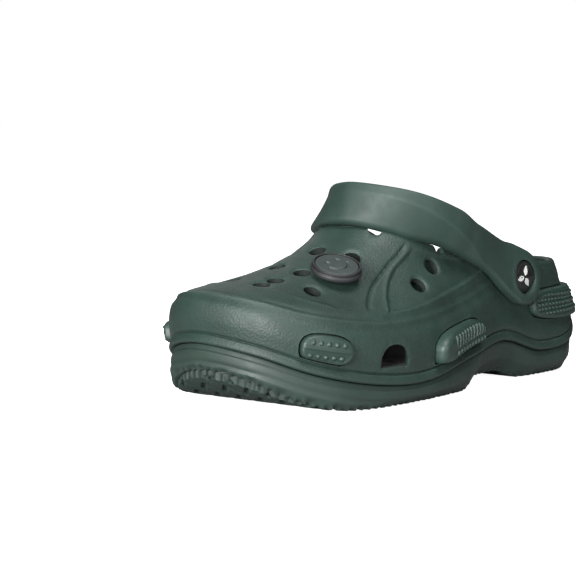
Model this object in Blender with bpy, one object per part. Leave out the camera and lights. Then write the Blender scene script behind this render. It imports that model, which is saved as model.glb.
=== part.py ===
"""Left rubber garden clog with a folding heel strap, built as the separate pieces of the real one.

The toe points to -Y, the outer (lateral) side of the foot is +X and +Z is up. The shoe stands on z = 0.
Lengths below are in millimetres and are turned into metres when the meshes are made.
"""

import math

import bmesh
import bpy
import numpy as np
from mathutils import Matrix, Vector

MM = 0.001
GAP = 0.3  # clearance between touching pieces
CENTRE = np.array([0.8, 0.9, 0.0])  # middle of the bounding box, moved to the origin

# Plan outline at the widest level, twenty stations: toe, lateral side, heel, medial side.
OUTLINE = np.array([
    (-9, -129.5), (20, -124), (40, -104), (50, -71), (52, -37.5),
    (47.5, 2), (41.5, 37.5), (40, 71), (36.5, 101.5), (22, 122.5),
    (0, 130), (-22, 122.5), (-36.5, 101.5), (-38.5, 71), (-37.5, 37.5),
    (-41, 2), (-47.5, -35.5), (-51, -68.5), (-47.5, -101.5), (-33, -121.5)])
STATIONS = len(OUTLINE)
AROUND = 80  # mesh columns round the shoe

# Welt rib: height of its lower edge at each station, and its own height.
WELT_LOW = [31, 27, 18, 11.2, 10, 16.5, 21, 13, 15, 24, 28, 24, 15, 13, 21, 16.5, 10, 11.2, 18, 27]
WELT_HEIGHT = 5.2

# Bumper edge, where the side wall turns over into the upper, and the wall's inset on the way there.
EDGE_HEIGHT = [53.7, 51, 44, 38.9, 38.9, 43.4, 50, 49, 46.5, 46, 46, 46, 46.5, 49, 50, 43.4, 38.9,
               38.9, 44, 51]
EDGE_INSET = [4.2, 4.2, 4.2, 4.2, 4.2, 5.5, 5.5, 5.2, 7, 8.5, 8.5, 8.5, 7, 5, 4, 4.5, 4.2, 4.2, 4.2, 4.2]
WALL_LOW_INSET = [0.6, 0.6, 0.6, 0.6, 0.6, 0.6, 1, 1, 1.5, 2, 2, 2, 1.5, 1, 0.8, 0.6, 0.6, 0.6, 0.6, 0.6]
WALL_MID_INSET = [0, 0, 0, 0, 0, 0.6, 2.9, 3.0, 3.2, 4, 4, 4, 3.2, 2, 1.2, 0.6, 0, 0, 0, 0]
WALL_HIGH_INSET = [1, 1, 1, 1, 1, 2.2, 4.3, 4.4, 5, 6.5, 6.5, 6.5, 5, 3.4, 2.4, 1.6, 1, 1, 1, 1]

# Foot opening: outer edge of the throat and collar at the same stations.
THROAT = np.array([
    (-4, -37, 78), (9, -36, 77.5), (20, -31, 75.2), (27.8, -20, 71.0), (31, -4, 66.5),
    (32.3, 15, 62), (33.6, 40, 61), (33.5, 68, 56.5), (29.5, 94, 54.5), (17.5, 112.5, 54.5),
    (0, 118.5, 54.5), (-17.5, 112.5, 54.5), (-29.5, 94, 54.5), (-33.5, 68, 56.5), (-34, 40, 61),
    (-32.3, 15, 62), (-30.5, -4, 66.5), (-27.3, -20, 71.0), (-22, -31, 75.2), (-13, -36, 77.5)])
UPPER_STEPS = 6
UPPER_THICKNESS = 4.5

# Sole: tread height, waist arch and the levels above the tread.
TOE_SPRING = 18
HEEL_SPRING = 3.3
ARCH = 5
OUTSOLE_THICKNESS = 7
SEAT_HEIGHT = 15  # footbed seat at the ball of the foot
SEAT_HEEL_RISE = 7
SEAT_TOE_RISE = 14
INSOLE_THICKNESS = 4
JUNCTION_INSET = 11  # edge of the flat joint between outsole and body
WELT_ROOT_INSET = 6  # where the welt's underside meets that joint's flank
SEAT_INSET = 13
SEAT_EDGE_INSET = 11  # the seat's edge turns up into the wall
SEAT_EDGE_RISE = 2

# Vents in the upper, by plan position.
VENTS = [(-19, -53), (-1.5, -55), (16.3, -51), (-19, -67), (-9, -75.5), (8.5, -77), (-24, -85),
         (23, -86.5), (5.5, -92.5), (-15.5, -98.5), (5, -101.5), (33.8, -11.7), (37.6, -27.0),
         (-32.6, -18.8)]
VENT_RADIUS = 4.1
VENT_SIDES = 12
CHARM_AT = (19.6, -67)
CHARM_AXIS = np.array([0.34, -0.19, 0.92]) / np.linalg.norm([0.34, -0.19, 0.92])
NOTCHES = [(1.62, 3.4), (4.1, 3.0), (18.38, 3.4), (15.9, 3.0)]  # station on the throat, radius
DRAIN_AT = (-62.5, 18.4)  # y of its middle, z of its lower edge
DRAIN_WIDTH = 16
DRAIN_HEIGHT = 10.6
DRAIN_SHOULDER = 3.4  # height of the straight part of its sides
DRAIN_SPAN = (36, 56)  # cut from inside the shoe to outside it

# Bumper pads: middle station, half length in stations, middle height at both ends, half height,
# half height at the middle of the pad, slant in stations, squareness of the outline.
PADS = {
    "bumper_front_lateral": (2.12, 0.385, 31.1, 27.1, 6.7, 6.7, 0.03, 2.6),
    "bumper_side_lateral": (4.69, 0.56, 21.6, 28.3, 8.4, 8.6, 0.10, 3.2),
    "bumper_front_medial": (18.04, 0.40, 27.3, 31.5, 6.7, 6.7, -0.03, 2.6),
    "bumper_side_medial": (15.34, 0.56, 27.4, 21.6, 8.4, 8.6, -0.10, 3.2),
    "bumper_heel": (10.0, 3.2, 35.6, 35.6, 8.6, 6.8, 0.0, 7.0),
}
PAD_DEPTH = 2.5
PAD_PROUD = 2.2
PAD_CROWN = 3.4
PAD_ABOVE_WELT = 1.6

# Strap: a band round the instep that turns on two rivets. Path points are (x, distance from pivot).
PIVOT = np.array([0, 52.5, 51.0])  # middle of the strap's hinge axis, which runs along X
STRAP_TILT = math.radians(24)
STRAP_PATH = np.array([(42.5, -13.2), (42.5, 0), (42.2, 22), (40.2, 44), (35, 68), (22.5, 89), (0, 97.5)])
STRAP_THICKNESS = 5.0
EAR_RADIUS = 13.7
EAR_LEAN = math.tan(math.radians(9))
STRAP_STEPS = 34

# Snap rivets
CAP_RADIUS = 8.3
CAP_THICKNESS = 1.8
CAP_BEVEL = 0.8
CAP_X = 42.4  # outer face on the pivot axis
PIN_RADIUS = 2.4
POST_RADIUS = 3.7
POST_BORE = 2.7
HOLE_RADIUS = 4.1
FLANGE_RADIUS = 6.5
FLANGE_X = (27.2, 28.7)
PIN_START_X = 29.2
BORE_START_X = 28.8
ROUND = 20

# Snap-in charm
CHARM_RADIUS = 12
CHARM_STEP_RADIUS = 11.3
CHARM_FACE_RADIUS = 10.1
CHARM_HEIGHT = 3.8
CHARM_LIFT = 1.9  # underside above the upper's surface
CHARM_RECESS = 1.5
STEM_RADIUS = 3.2
STEM_END = -6.2
SNAP_RADIUS = 5.0
SNAP_END = -8.2

COLOURS = {
    "clog_body": (0.040, 0.082, 0.070), "outsole": (0.035, 0.072, 0.062), "insole": (0.012, 0.011, 0.011),
    "heel_strap": (0.038, 0.080, 0.069), "bumper": (0.042, 0.088, 0.075), "rivet_cap": (0.008, 0.008, 0.008),
    "rivet_post": (0.010, 0.010, 0.010), "charm_base": (0.012, 0.012, 0.012),
    "charm_face": (0.055, 0.075, 0.070),
}


# ---------------------------------------------------------------- curves

def loop(values, u):
    """Smooth closed curve through the station values, at u from 0 to 1."""
    v = np.asarray(values, float)
    t = np.asarray(u) * STATIONS
    i = np.floor(t).astype(int)
    f = t - i
    if v.ndim > 1:
        f = f[..., None]
    return spline(v[(i - 1) % STATIONS], v[i % STATIONS], v[(i + 1) % STATIONS], v[(i + 2) % STATIONS], f)


def spline(a, b, c, d, f):
    """Catmull-Rom step from b to c."""
    return 0.5 * (2 * b + (c - a) * f + (2 * a - 5 * b + 4 * c - d) * f**2 + (3 * b - a - 3 * c + d) * f**3)


def smooth(x, low, high):
    t = np.clip((x - low) / (high - low), 0, 1)
    return t * t * (3 - 2 * t)


def inward(u):
    """Horizontal direction from the outline towards the foot."""
    step = 1e-3
    along = loop(OUTLINE, u + step) - loop(OUTLINE, u - step)
    along /= np.linalg.norm(along, axis=-1, keepdims=True)
    return np.stack([-along[..., 1], along[..., 0]], -1)


def wall(u, inset, z):
    """Point of a vertical wall set in from the outline."""
    u = np.asarray(u, float)
    inset = np.broadcast_to(inset, u.shape)
    flat = loop(OUTLINE, u) + inward(u) * inset[..., None]
    return np.concatenate([flat, np.broadcast_to(z, u.shape)[..., None]], -1)


# ---------------------------------------------------------------- the shoe's levels

def tread(y):
    toe = TOE_SPRING * np.clip((-66 - y) / 63, 0, None)**3.2
    heel = HEEL_SPRING * np.clip((y - 105) / 25, 0, None)**2
    waist = ARCH * smooth(y, 2, 22) * (1 - smooth(y, 40, 60))
    return toe + heel + waist


def floor_level(y):
    """Junction of the outsole and the body, inside the sole."""
    return tread(y) + OUTSOLE_THICKNESS


def seat_level(y):
    """Seat of the insole."""
    toe = SEAT_TOE_RISE * np.clip((-66 - y) / 63, 0, None)**2.6
    return SEAT_HEIGHT + toe + SEAT_HEEL_RISE * smooth(y, -50, 60)


def on_level(u, inset, level, offset=0.0):
    ring = wall(u, inset, 0)
    ring[..., 2] = level(ring[..., 1]) + offset
    return ring


def skin_profile(u):
    """Insets and heights of the outer wall from the welt up to the bumper edge."""
    low = loop(WELT_LOW, u)
    top = low + WELT_HEIGHT
    rise = loop(EDGE_HEIGHT, u) - top
    insets = [2.0 + 0 * u, 0.0 * u, 1.4 + loop(WALL_LOW_INSET, u) * 0.6, loop(WALL_LOW_INSET, u),
              loop(WALL_MID_INSET, u), loop(WALL_HIGH_INSET, u), loop(EDGE_INSET, u)]
    heights = [low, low + 0.5 * WELT_HEIGHT, top, top + 0.12 * rise, top + 0.4 * rise,
               top + 0.75 * rise, top + rise]
    return insets, heights


def skin(u, z, proud):
    """Point on the outer wall at height z, moved outwards."""
    u = np.asarray(u, float)
    insets, heights = skin_profile(u)
    insets = np.stack(insets, -1)
    heights = np.stack(heights, -1)
    flat = np.array([np.interp(q, h, i) for q, h, i in
                     zip(np.ravel(z), heights.reshape(-1, heights.shape[-1]),
                         insets.reshape(-1, insets.shape[-1]))])
    return wall(u, flat.reshape(u.shape) - proud, np.asarray(z, float))


def upper(u, t):
    """The upper, from the bumper edge (t = 0) to the throat (t = 1)."""
    u = np.asarray(u, float)
    start = wall(u, loop(EDGE_INSET, u), loop(EDGE_HEIGHT, u))
    end = loop(THROAT, u)
    toe = smooth(-start[..., 1], -10, 100)[..., None]
    span = end - start
    leave = span * np.concatenate([0.55 + 0.13 * toe, 0.55 + 0.13 * toe, 1.35 - 0.77 * toe], -1)
    arrive = span * np.concatenate([1.1 - 0.02 * toe, 1.1 - 0.02 * toe, 0.85 + 1.6 * toe], -1)
    t = np.asarray(t, float)[..., None]
    return (start * (2 * t**3 - 3 * t**2 + 1) + leave * (t**3 - 2 * t**2 + t)
            + end * (3 * t**2 - 2 * t**3) + arrive * (t**3 - t**2))


def upper_normal(u, t):
    step = 1e-3
    along = upper(u + step, t) - upper(u - step, t)
    t = np.asarray(t, float)
    up = upper(u, np.minimum(t + step, 1)) - upper(u, np.minimum(t + step, 1) - 2 * step)
    normal = np.cross(along, up)
    return normal / np.linalg.norm(normal, axis=-1, keepdims=True)


def find_on_upper(x, y):
    """Point and normal of the upper above a plan position."""
    u, t = np.meshgrid(np.arange(0, 1, 0.002), np.linspace(0, 1, 201), indexing="ij")
    points = upper(u, t)
    k = np.hypot(points[..., 0] - x, points[..., 1] - y).argmin()
    u, t = u.reshape(-1)[k], t.reshape(-1)[k]
    return upper(np.array(u), np.array(t)), upper_normal(np.array(u), np.array(t))


# ---------------------------------------------------------------- mesh building

def add_ring(bm, points):
    return [bm.verts.new(p) for p in points]


def bridge(bm, low, high):
    """Quads between two closed rings, facing out when the rings go up the outside."""
    count = len(low)
    for i in range(count):
        j = (i + 1) % count
        bm.faces.new((low[i], low[j], high[j], high[i]))


def chain(bm, rings):
    """Bridge a list of point rings and return their vertices."""
    rows = [add_ring(bm, ring) for ring in rings]
    for low, high in zip(rows, rows[1:]):
        bridge(bm, low, high)
    return rows


def cross_fill(bm, ring, params, place, columns, flip):
    """Close a ring with rows that join its mirrored points, so that it follows place()."""
    count = len(ring)
    rows = [[ring[0]]]
    for i in range(1, count // 2):
        a, b = params[i], params[count - i]
        inner = [bm.verts.new(place(a + (b - a) * k / (columns + 1))) for k in range(1, columns + 1)]
        rows.append([ring[i], *inner, ring[count - i]])
    rows.append([ring[count // 2]])
    for low, high in zip(rows, rows[1:]):
        for k in range(max(len(low), len(high)) - 1):
            corner = [low[min(k, len(low) - 1)], low[min(k + 1, len(low) - 1)],
                      high[min(k + 1, len(high) - 1)], high[min(k, len(high) - 1)]]
            face = list(dict.fromkeys(corner))
            bm.faces.new(face[::-1] if flip else face)


def same(point):
    return point


def close_ends(bm, rows):
    """Fill the first and the last ring of a chain that goes up the outside."""
    for ring, flip in ((rows[0], False), (rows[-1], True)):
        cross_fill(bm, ring, np.array([vert.co for vert in ring]), same, 2, flip)


def to_object(name, bm, colour, roughness=0.5, origin=CENTRE):
    """Finish a bmesh in millimetres as an object in metres, with its own material and origin."""
    bmesh.ops.translate(bm, verts=bm.verts, vec=Vector(-origin))
    bmesh.ops.scale(bm, verts=bm.verts, vec=(MM, MM, MM))
    mesh = bpy.data.meshes.new(name)
    bm.to_mesh(mesh)
    bm.free()
    mesh.shade_smooth()
    mesh.set_sharp_from_angle(angle=math.radians(35))
    obj = bpy.data.objects.new(name, mesh)
    obj.location = (origin - CENTRE) * MM
    bpy.context.scene.collection.objects.link(obj)
    material = bpy.data.materials.new(name)
    material.use_nodes = True
    shader = material.node_tree.nodes["Principled BSDF"]
    shader.inputs["Base Color"].default_value = (*COLOURS[colour], 1)
    shader.inputs["Roughness"].default_value = roughness
    shader.inputs["Metallic"].default_value = 0.0
    mesh.materials.append(material)
    return obj


def cutter(name, bm):
    obj = to_object(name, bm, "clog_body")
    obj.hide_render = True
    obj.display_type = "WIRE"
    return obj


def cut(obj, tool):
    modifier = obj.modifiers.new(tool.name, "BOOLEAN")
    modifier.operation = "DIFFERENCE"
    modifier.solver = "EXACT"
    modifier.object = tool


def turn_to(axis, at):
    """Matrix that stands local +Z along axis at a point."""
    return Matrix.Translation(Vector(at)) @ Vector(axis).to_track_quat("Z", "Y").to_matrix().to_4x4()


def turned(bm, profile, matrix, segments=ROUND):
    """Solid of revolution; profile is (radius, height) from the top centre to the bottom centre."""
    rows = []
    for radius, height in profile:
        count = 1 if radius == 0 else segments
        rows.append([bm.verts.new(matrix @ Vector((radius * math.cos(2 * math.pi * k / segments),
                                                   radius * math.sin(2 * math.pi * k / segments), height)))
                     for k in range(count)])
    for top, low in zip(rows, rows[1:]):
        for k in range(segments):
            j = (k + 1) % segments
            corner = [top[k % len(top)], low[k % len(low)], low[j % len(low)], top[j % len(top)]]
            bm.faces.new(list(dict.fromkeys(corner)))


def columns_u(count=AROUND):
    return np.arange(count) / count


# ---------------------------------------------------------------- body

def body_rings():
    u = columns_u()
    low = loop(WELT_LOW, u)
    insets, heights = skin_profile(u)
    rings = [on_level(u, JUNCTION_INSET, floor_level), wall(u, WELT_ROOT_INSET, low - 0.5)]
    rings += [wall(u, inset, z) for inset, z in zip(insets, heights)]
    steps = np.arange(1, UPPER_STEPS + 1) / UPPER_STEPS
    for t in steps:
        rings.append(upper(u, np.full(u.shape, t)))
    normals = [upper_normal(u, np.full(u.shape, t)) for t in steps]
    rim = rings[-1] - normals[-1] * UPPER_THICKNESS / 2
    rim[:, 2] += 1.0
    inside = [ring - n * UPPER_THICKNESS for ring, n in zip(rings[-UPPER_STEPS:], normals)]
    inside = inside[::-1]
    top = heights[2]
    rise = heights[-1] - top
    inner_wall = [wall(u, insets[-1] + 4.2, top + 0.93 * rise), wall(u, 7 + insets[4], top + 0.5 * rise),
                  wall(u, 8.5, np.maximum(top + 3, seat_level(loop(OUTLINE, u)[:, 1]) + 3.5)),
                  on_level(u, SEAT_EDGE_INSET, seat_level, SEAT_EDGE_RISE),
                  on_level(u, SEAT_INSET, seat_level)]
    return rings + [rim] + inside + inner_wall


def vent_cutters():
    """Every hole through the shell, as separate closed tools in one mesh."""
    bm = bmesh.new()
    reach = 9
    profile = [(0, reach), (VENT_RADIUS, reach), (VENT_RADIUS, -reach), (0, -reach)]
    turned(bm, profile, turn_to(CHARM_AXIS, find_on_upper(*CHARM_AT)[0]), VENT_SIDES)
    for x, y in VENTS:
        point, normal = find_on_upper(x, y)
        turned(bm, profile, turn_to(normal, point), VENT_SIDES)
    for station, radius in NOTCHES:
        u = np.array(station / STATIONS)
        point = upper(u, np.array(1.0))
        normal = upper_normal(u, np.array(1.0)) * np.array([1, 1, 0.2])
        profile = [(0, reach), (radius, reach), (radius, -reach), (0, -reach)]
        turned(bm, profile, turn_to(normal, point + np.array([0, 0, 0.6])), VENT_SIDES)
    for side in (1, -1):
        matrix = turn_to((side, 0, 0), PIVOT)
        turned(bm, [(0, 45), (HOLE_RADIUS, 45), (HOLE_RADIUS, 26), (0, 26)], matrix, 16)
        drain(bm, side)
    return cutter("shell_holes", bm)


def drain(bm, side):
    """Arched drain opening with a flat sill."""
    y, sill = DRAIN_AT
    half = DRAIN_WIDTH / 2
    shoulder = sill + DRAIN_SHOULDER
    arch = DRAIN_HEIGHT - DRAIN_SHOULDER
    arc = [math.pi * k / 8 for k in range(9)]
    shape = [(y + half * math.cos(a), shoulder + arch * math.sin(a)) for a in arc]
    shape += [(y - half + 0.8, sill), (y + half - 0.8, sill)]
    rows = [[bm.verts.new((side * x, p, q)) for p, q in shape] for x in DRAIN_SPAN]
    bm.faces.new(rows[0][::-side])
    bm.faces.new(rows[1][::side])
    for i in range(len(shape)):
        j = (i + 1) % len(shape)
        quad = (rows[0][i], rows[1][i], rows[1][j], rows[0][j])
        bm.faces.new(quad[::-side])


def pad_rings(spec, grow, low, high, crown):
    """Rings and parameters of a pad that follows the wall between two depths."""
    middle, length, z_start, z_end, tall_end, tall_middle, slant, square = spec
    half = 26 if length > 2 else 13
    x = np.linspace(-1, 1, half + 1)
    bunch = 0.35 if length > 2 else 1.0  # draws the points towards the round ends
    p = (1 - bunch) * x + bunch * np.sin(x * math.pi / 2)
    q = -(1 - np.abs(p)**square)**(1 / min(square, 3.2))
    p = np.concatenate([p, p[-2:0:-1]])
    q = np.concatenate([q, -q[-2:0:-1]])
    grow_u = grow / 26  # stations are about 26 mm apart

    def place(param, proud):
        a, b = param
        u = (middle + a * (length + grow_u) + slant * b) / STATIONS
        tall = tall_middle + (tall_end - tall_middle) * abs(a)**2 + grow
        z = (z_start + z_end) / 2 + (z_end - z_start) / 2 * a + tall * b
        lowest = loop(WELT_LOW, u) + WELT_HEIGHT + PAD_ABOVE_WELT - grow
        return skin(np.array([u]), np.array([max(z, float(lowest))]), proud)[0]

    params = np.stack([p, q], -1)
    edge = params
    inner = params * np.array([1 - 0.10 * (0.62 / length), 0.78])
    rings = [(edge, low), (edge, high), (inner, crown)]
    return rings, place


def pad(name, grow=0.0, low=-PAD_DEPTH, high=PAD_PROUD, crown=PAD_CROWN):
    spec = PADS[name]
    bm = bmesh.new()
    rings, place = pad_rings(spec, grow, low, high, crown)
    rows = chain(bm, [[place(q, proud) for q in params] for params, proud in rings])
    cross_fill(bm, rows[0], rings[0][0], lambda q: place(q, low), 2, False)
    cross_fill(bm, rows[-1], rings[-1][0], lambda q: place(q, crown), 2, True)
    return bm


def build_body():
    bm = bmesh.new()
    close_ends(bm, chain(bm, body_rings()))
    body = to_object("clog_body", bm, "clog_body", 0.55)
    cut(body, vent_cutters())
    for name in PADS:
        cut(body, cutter("pocket_" + name, pad(name, 1.5 * GAP, -PAD_DEPTH - GAP, 6, 7)))
    return body


def build_outsole():
    u = columns_u()
    low = loop(WELT_LOW, u)
    y = loop(OUTLINE, u)[:, 1]
    ground = tread(y)
    waist = smooth(y, -5, 25) * (1 - smooth(y, 45, 75))
    heel = smooth(y, 90, 125)
    rings = [on_level(u, 6 + 3 * waist + 2.5 * heel, tread),
             on_level(u, 3 + 4 * waist + 3 * heel, tread, 2.5),
             wall(u, 0.8 + 2.2 * waist + 2.4 * heel, ground + 0.45 * (low - ground)),
             wall(u, 1.6, low - 3.5), wall(u, 2.2, low - GAP),
             wall(u, WELT_ROOT_INSET - 0.4, low - 0.5 - GAP),
             on_level(u, JUNCTION_INSET - 0.4, floor_level, -3 * GAP)]
    bm = bmesh.new()
    close_ends(bm, chain(bm, rings))
    return to_object("outsole", bm, "outsole", 0.65)


def build_insole():
    u = columns_u()
    rings = [on_level(u, SEAT_INSET + GAP, seat_level, GAP),
             on_level(u, SEAT_EDGE_INSET + GAP, seat_level, SEAT_EDGE_RISE + GAP),
             on_level(u, SEAT_EDGE_INSET + 0.2, seat_level, INSOLE_THICKNESS - 0.6),
             on_level(u, SEAT_EDGE_INSET + 1.2, seat_level, INSOLE_THICKNESS)]
    bm = bmesh.new()
    close_ends(bm, chain(bm, rings))
    return to_object("insole", bm, "insole", 0.8)


# ---------------------------------------------------------------- strap and rivets

def strap_path(t):
    """Outer face line of the strap, from the lateral ear to the medial ear, as (x, distance)."""
    full = np.vstack([STRAP_PATH, STRAP_PATH[-2::-1] * [-1, 1]])
    ends = np.vstack([2 * full[0] - full[1], full, 2 * full[-1] - full[-2]])
    count = len(full) - 1
    x = np.clip(np.asarray(t) * count, 0, count - 1e-9)
    i = x.astype(int)
    f = (x - i)[..., None]
    return spline(ends[i], ends[i + 1], ends[i + 2], ends[i + 3], f)


def strap_half_width(s):
    band = np.interp(s, [0, 8, 20, 32, 50, 98], [EAR_RADIUS, 12.8, 11.2, 10.3, 10.0, 9.7])
    ear = np.sqrt(np.clip(EAR_RADIUS**2 - s**2, 0, None))
    return np.where(s < 0, ear, band)


def strap_offset(s):
    """How far the band's middle line sits above the line through the pivot."""
    return np.interp(s, [0, 10, 32, 50, 98], [0, 0.4, 1.4, 1.4, 0.6])


def strap_frame():
    forward = np.array([0, -math.cos(STRAP_TILT), math.sin(STRAP_TILT)])
    across = np.array([0, math.sin(STRAP_TILT), math.cos(STRAP_TILT)])
    return forward, across


def strap_section():
    """Rounded section as (0 outer to 1 inner face, -1 to 1 across)."""
    return [(0.0, -0.78), (0.0, 0.0), (0.0, 0.82), (0.16, 0.97), (0.8, 1.0),
            (1.0, 0.9), (1.0, 0.0), (1.0, -0.9), (0.75, -1.0), (0.3, -0.97)]


def strap_ring(t):
    forward, across = strap_frame()
    here = strap_path(t)
    step = 1e-3
    along = strap_path(min(t + step, 1)) - strap_path(max(t - step, 0))
    along /= np.linalg.norm(along)
    out = np.array([along[1], -along[0]])
    s = float(here[1])
    fade = 1 - smooth(s, 12, 46)
    points = []
    for depth, side in strap_section():
        level = strap_offset(s) + side * strap_half_width(s)
        flat = here - out * depth * STRAP_THICKNESS
        point = PIVOT + forward * flat[1] + across * level
        point[0] = flat[0]
        lean = (point[2] - PIVOT[2]) * EAR_LEAN * fade * (1 - depth)
        point[0] -= math.copysign(lean, flat[0])
        points.append(point)
    return points


def build_strap():
    end = 0.5 * (1 - np.cos(np.linspace(0, math.pi, STRAP_STEPS + 1)))
    steps = 0.35 * end + 0.65 * np.linspace(0, 1, STRAP_STEPS + 1)
    bm = bmesh.new()
    rows = [add_ring(bm, strap_ring(t)) for t in steps]
    for low, high in zip(rows, rows[1:]):
        bridge(bm, low, high)
    bm.faces.new(rows[0][::-1])
    bm.faces.new(rows[-1])
    bmesh.ops.recalc_face_normals(bm, faces=bm.faces)
    strap = to_object("heel_strap", bm, "heel_strap", 0.42, PIVOT)
    bores = bmesh.new()
    floor = CAP_X - CAP_THICKNESS - CAP_RADIUS * EAR_LEAN - GAP
    for side in (1, -1):
        matrix = turn_to((side, 0, 0), PIVOT)
        rim = CAP_RADIUS + GAP
        turned(bores, [(0, 50), (rim, 50), (rim, floor), (HOLE_RADIUS, floor), (HOLE_RADIUS, 33), (0, 33)],
               matrix)
    cut(strap, cutter("strap_bores", bores))
    return strap


def build_rivet(side, word):
    """Snap rivet: a cap with a pin outside, a flanged post inside. Both turn with the strap."""
    matrix = turn_to((side, 0, 0), PIVOT)
    back = CAP_X - CAP_THICKNESS
    bm = bmesh.new()
    turned(bm, [(0, CAP_X), (CAP_RADIUS - CAP_BEVEL, CAP_X), (CAP_RADIUS, CAP_X - 0.6 * CAP_BEVEL),
                (CAP_RADIUS, back), (PIN_RADIUS, back), (PIN_RADIUS, PIN_START_X), (0, PIN_START_X)], matrix)
    for vert in bm.verts:
        if abs(vert.co.x) > back - 0.01:
            lean = (vert.co.z - PIVOT[2]) * EAR_LEAN
            vert.co.x -= math.copysign(lean, vert.co.x)
    to_object("rivet_cap_" + word, bm, "rivet_cap", 0.35, PIVOT)
    bm = bmesh.new()
    tip = back - POST_RADIUS * EAR_LEAN - 2 * GAP
    turned(bm, [(0, BORE_START_X), (POST_BORE, BORE_START_X), (POST_BORE, tip), (POST_RADIUS, tip),
                (POST_RADIUS, FLANGE_X[1]), (FLANGE_RADIUS, FLANGE_X[1]), (FLANGE_RADIUS, FLANGE_X[0]),
                (0, FLANGE_X[0])], matrix)
    to_object("rivet_post_" + word, bm, "rivet_post", 0.4, PIVOT)


# ---------------------------------------------------------------- charm

def build_charm():
    """Round snap-in charm: stepped base with a stem, and an inlaid face disc."""
    point = find_on_upper(*CHARM_AT)[0]
    matrix = turn_to(CHARM_AXIS, point)
    low = CHARM_LIFT
    high = CHARM_LIFT + CHARM_HEIGHT
    recess = high - CHARM_RECESS
    bm = bmesh.new()
    turned(bm, [(0, recess), (CHARM_FACE_RADIUS + GAP, recess), (CHARM_FACE_RADIUS + GAP, high),
                (CHARM_STEP_RADIUS, high), (CHARM_STEP_RADIUS, high - 1.6), (CHARM_RADIUS, high - 1.9),
                (CHARM_RADIUS, low + 0.3), (CHARM_RADIUS - 0.5, low), (STEM_RADIUS, low),
                (STEM_RADIUS, STEM_END), (SNAP_RADIUS, STEM_END - 0.4), (SNAP_RADIUS - 1, SNAP_END),
                (0, SNAP_END)], matrix, 28)
    to_object("charm_base", bm, "charm_base", 0.45, point)
    bm = bmesh.new()
    turned(bm, [(0, high - 0.2), (CHARM_FACE_RADIUS - 0.5, high - 0.2), (CHARM_FACE_RADIUS, high - 0.6),
                (CHARM_FACE_RADIUS, recess + GAP), (0, recess + GAP)], matrix, 28)
    to_object("charm_face", bm, "charm_face", 0.4, point)


def main():
    for obj in list(bpy.data.objects):
        bpy.data.objects.remove(obj, do_unlink=True)
    build_body()
    build_outsole()
    build_insole()
    for name in PADS:
        to_object(name, pad(name), "bumper", 0.5)
    build_strap()
    build_rivet(1, "lateral")
    build_rivet(-1, "medial")
    build_charm()


main()
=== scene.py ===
"""Looks of the left rubber garden clog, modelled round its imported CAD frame.

The toe points to -Y, the outer side of the foot is +X and +Z is up. Shapes are worked out in
millimetres in the shoe's drawing frame and moved to the row frame, in metres, by mesh_object().
Stations run round the outline from 0 at the toe, along the outer side, to 10 at the heel and back to 20.
"""
import math
from collections import namedtuple

import bmesh
import bpy
import numpy as np
from mathutils import Matrix, Vector


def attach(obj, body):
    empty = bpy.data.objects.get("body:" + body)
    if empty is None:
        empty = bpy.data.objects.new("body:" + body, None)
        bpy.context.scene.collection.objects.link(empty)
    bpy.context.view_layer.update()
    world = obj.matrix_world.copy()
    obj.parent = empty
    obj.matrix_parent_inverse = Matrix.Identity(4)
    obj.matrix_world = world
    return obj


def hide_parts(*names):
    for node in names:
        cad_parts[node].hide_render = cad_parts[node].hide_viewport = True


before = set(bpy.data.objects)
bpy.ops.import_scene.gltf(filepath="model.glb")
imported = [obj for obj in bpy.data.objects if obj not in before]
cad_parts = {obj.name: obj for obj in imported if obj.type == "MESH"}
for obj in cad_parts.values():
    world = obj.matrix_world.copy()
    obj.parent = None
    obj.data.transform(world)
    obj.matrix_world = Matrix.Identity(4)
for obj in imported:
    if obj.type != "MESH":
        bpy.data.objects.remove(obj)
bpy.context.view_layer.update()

MM = 0.001
TURN = 2 * math.pi
GAP = 0.3
CENTRE = np.array([0.8, 0.9, 0.0])

# ---------------------------------------------------------------- driving dimensions
# These are the CAD's, but for the outline of the side bumpers.

OUTLINE = np.array([
    (-9, -129.5), (20, -124), (40, -104), (50, -71), (52, -37.5),
    (47.5, 2), (41.5, 37.5), (40, 71), (36.5, 101.5), (22, 122.5),
    (0, 130), (-22, 122.5), (-36.5, 101.5), (-38.5, 71), (-37.5, 37.5),
    (-41, 2), (-47.5, -35.5), (-51, -68.5), (-47.5, -101.5), (-33, -121.5)])
STATIONS = len(OUTLINE)
WELT_LOW = [31, 27, 18, 11.2, 10, 16.5, 21, 13, 15, 24, 28, 24, 15, 13, 21, 16.5, 10, 11.2, 18, 27]
WELT_HEIGHT = 5.2
EDGE_HEIGHT = [53.7, 51, 44, 38.9, 38.9, 43.4, 50, 49, 46.5, 46, 46, 46, 46.5, 49, 50, 43.4, 38.9,
               38.9, 44, 51]
EDGE_INSET = [4.2, 4.2, 4.2, 4.2, 4.2, 5.5, 5.5, 5.2, 7, 8.5, 8.5, 8.5, 7, 5, 4, 4.5, 4.2, 4.2, 4.2, 4.2]
WALL_LOW_INSET = [0.6, 0.6, 0.6, 0.6, 0.6, 0.6, 1, 1, 1.5, 2, 2, 2, 1.5, 1, 0.8, 0.6, 0.6, 0.6, 0.6, 0.6]
WALL_MID_INSET = [0, 0, 0, 0, 0, 0.6, 2.9, 3.0, 3.2, 4, 4, 4, 3.2, 2, 1.2, 0.6, 0, 0, 0, 0]
WALL_HIGH_INSET = [1, 1, 1, 1, 1, 2.2, 4.3, 4.4, 5, 6.5, 6.5, 6.5, 5, 3.4, 2.4, 1.6, 1, 1, 1, 1]
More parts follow.
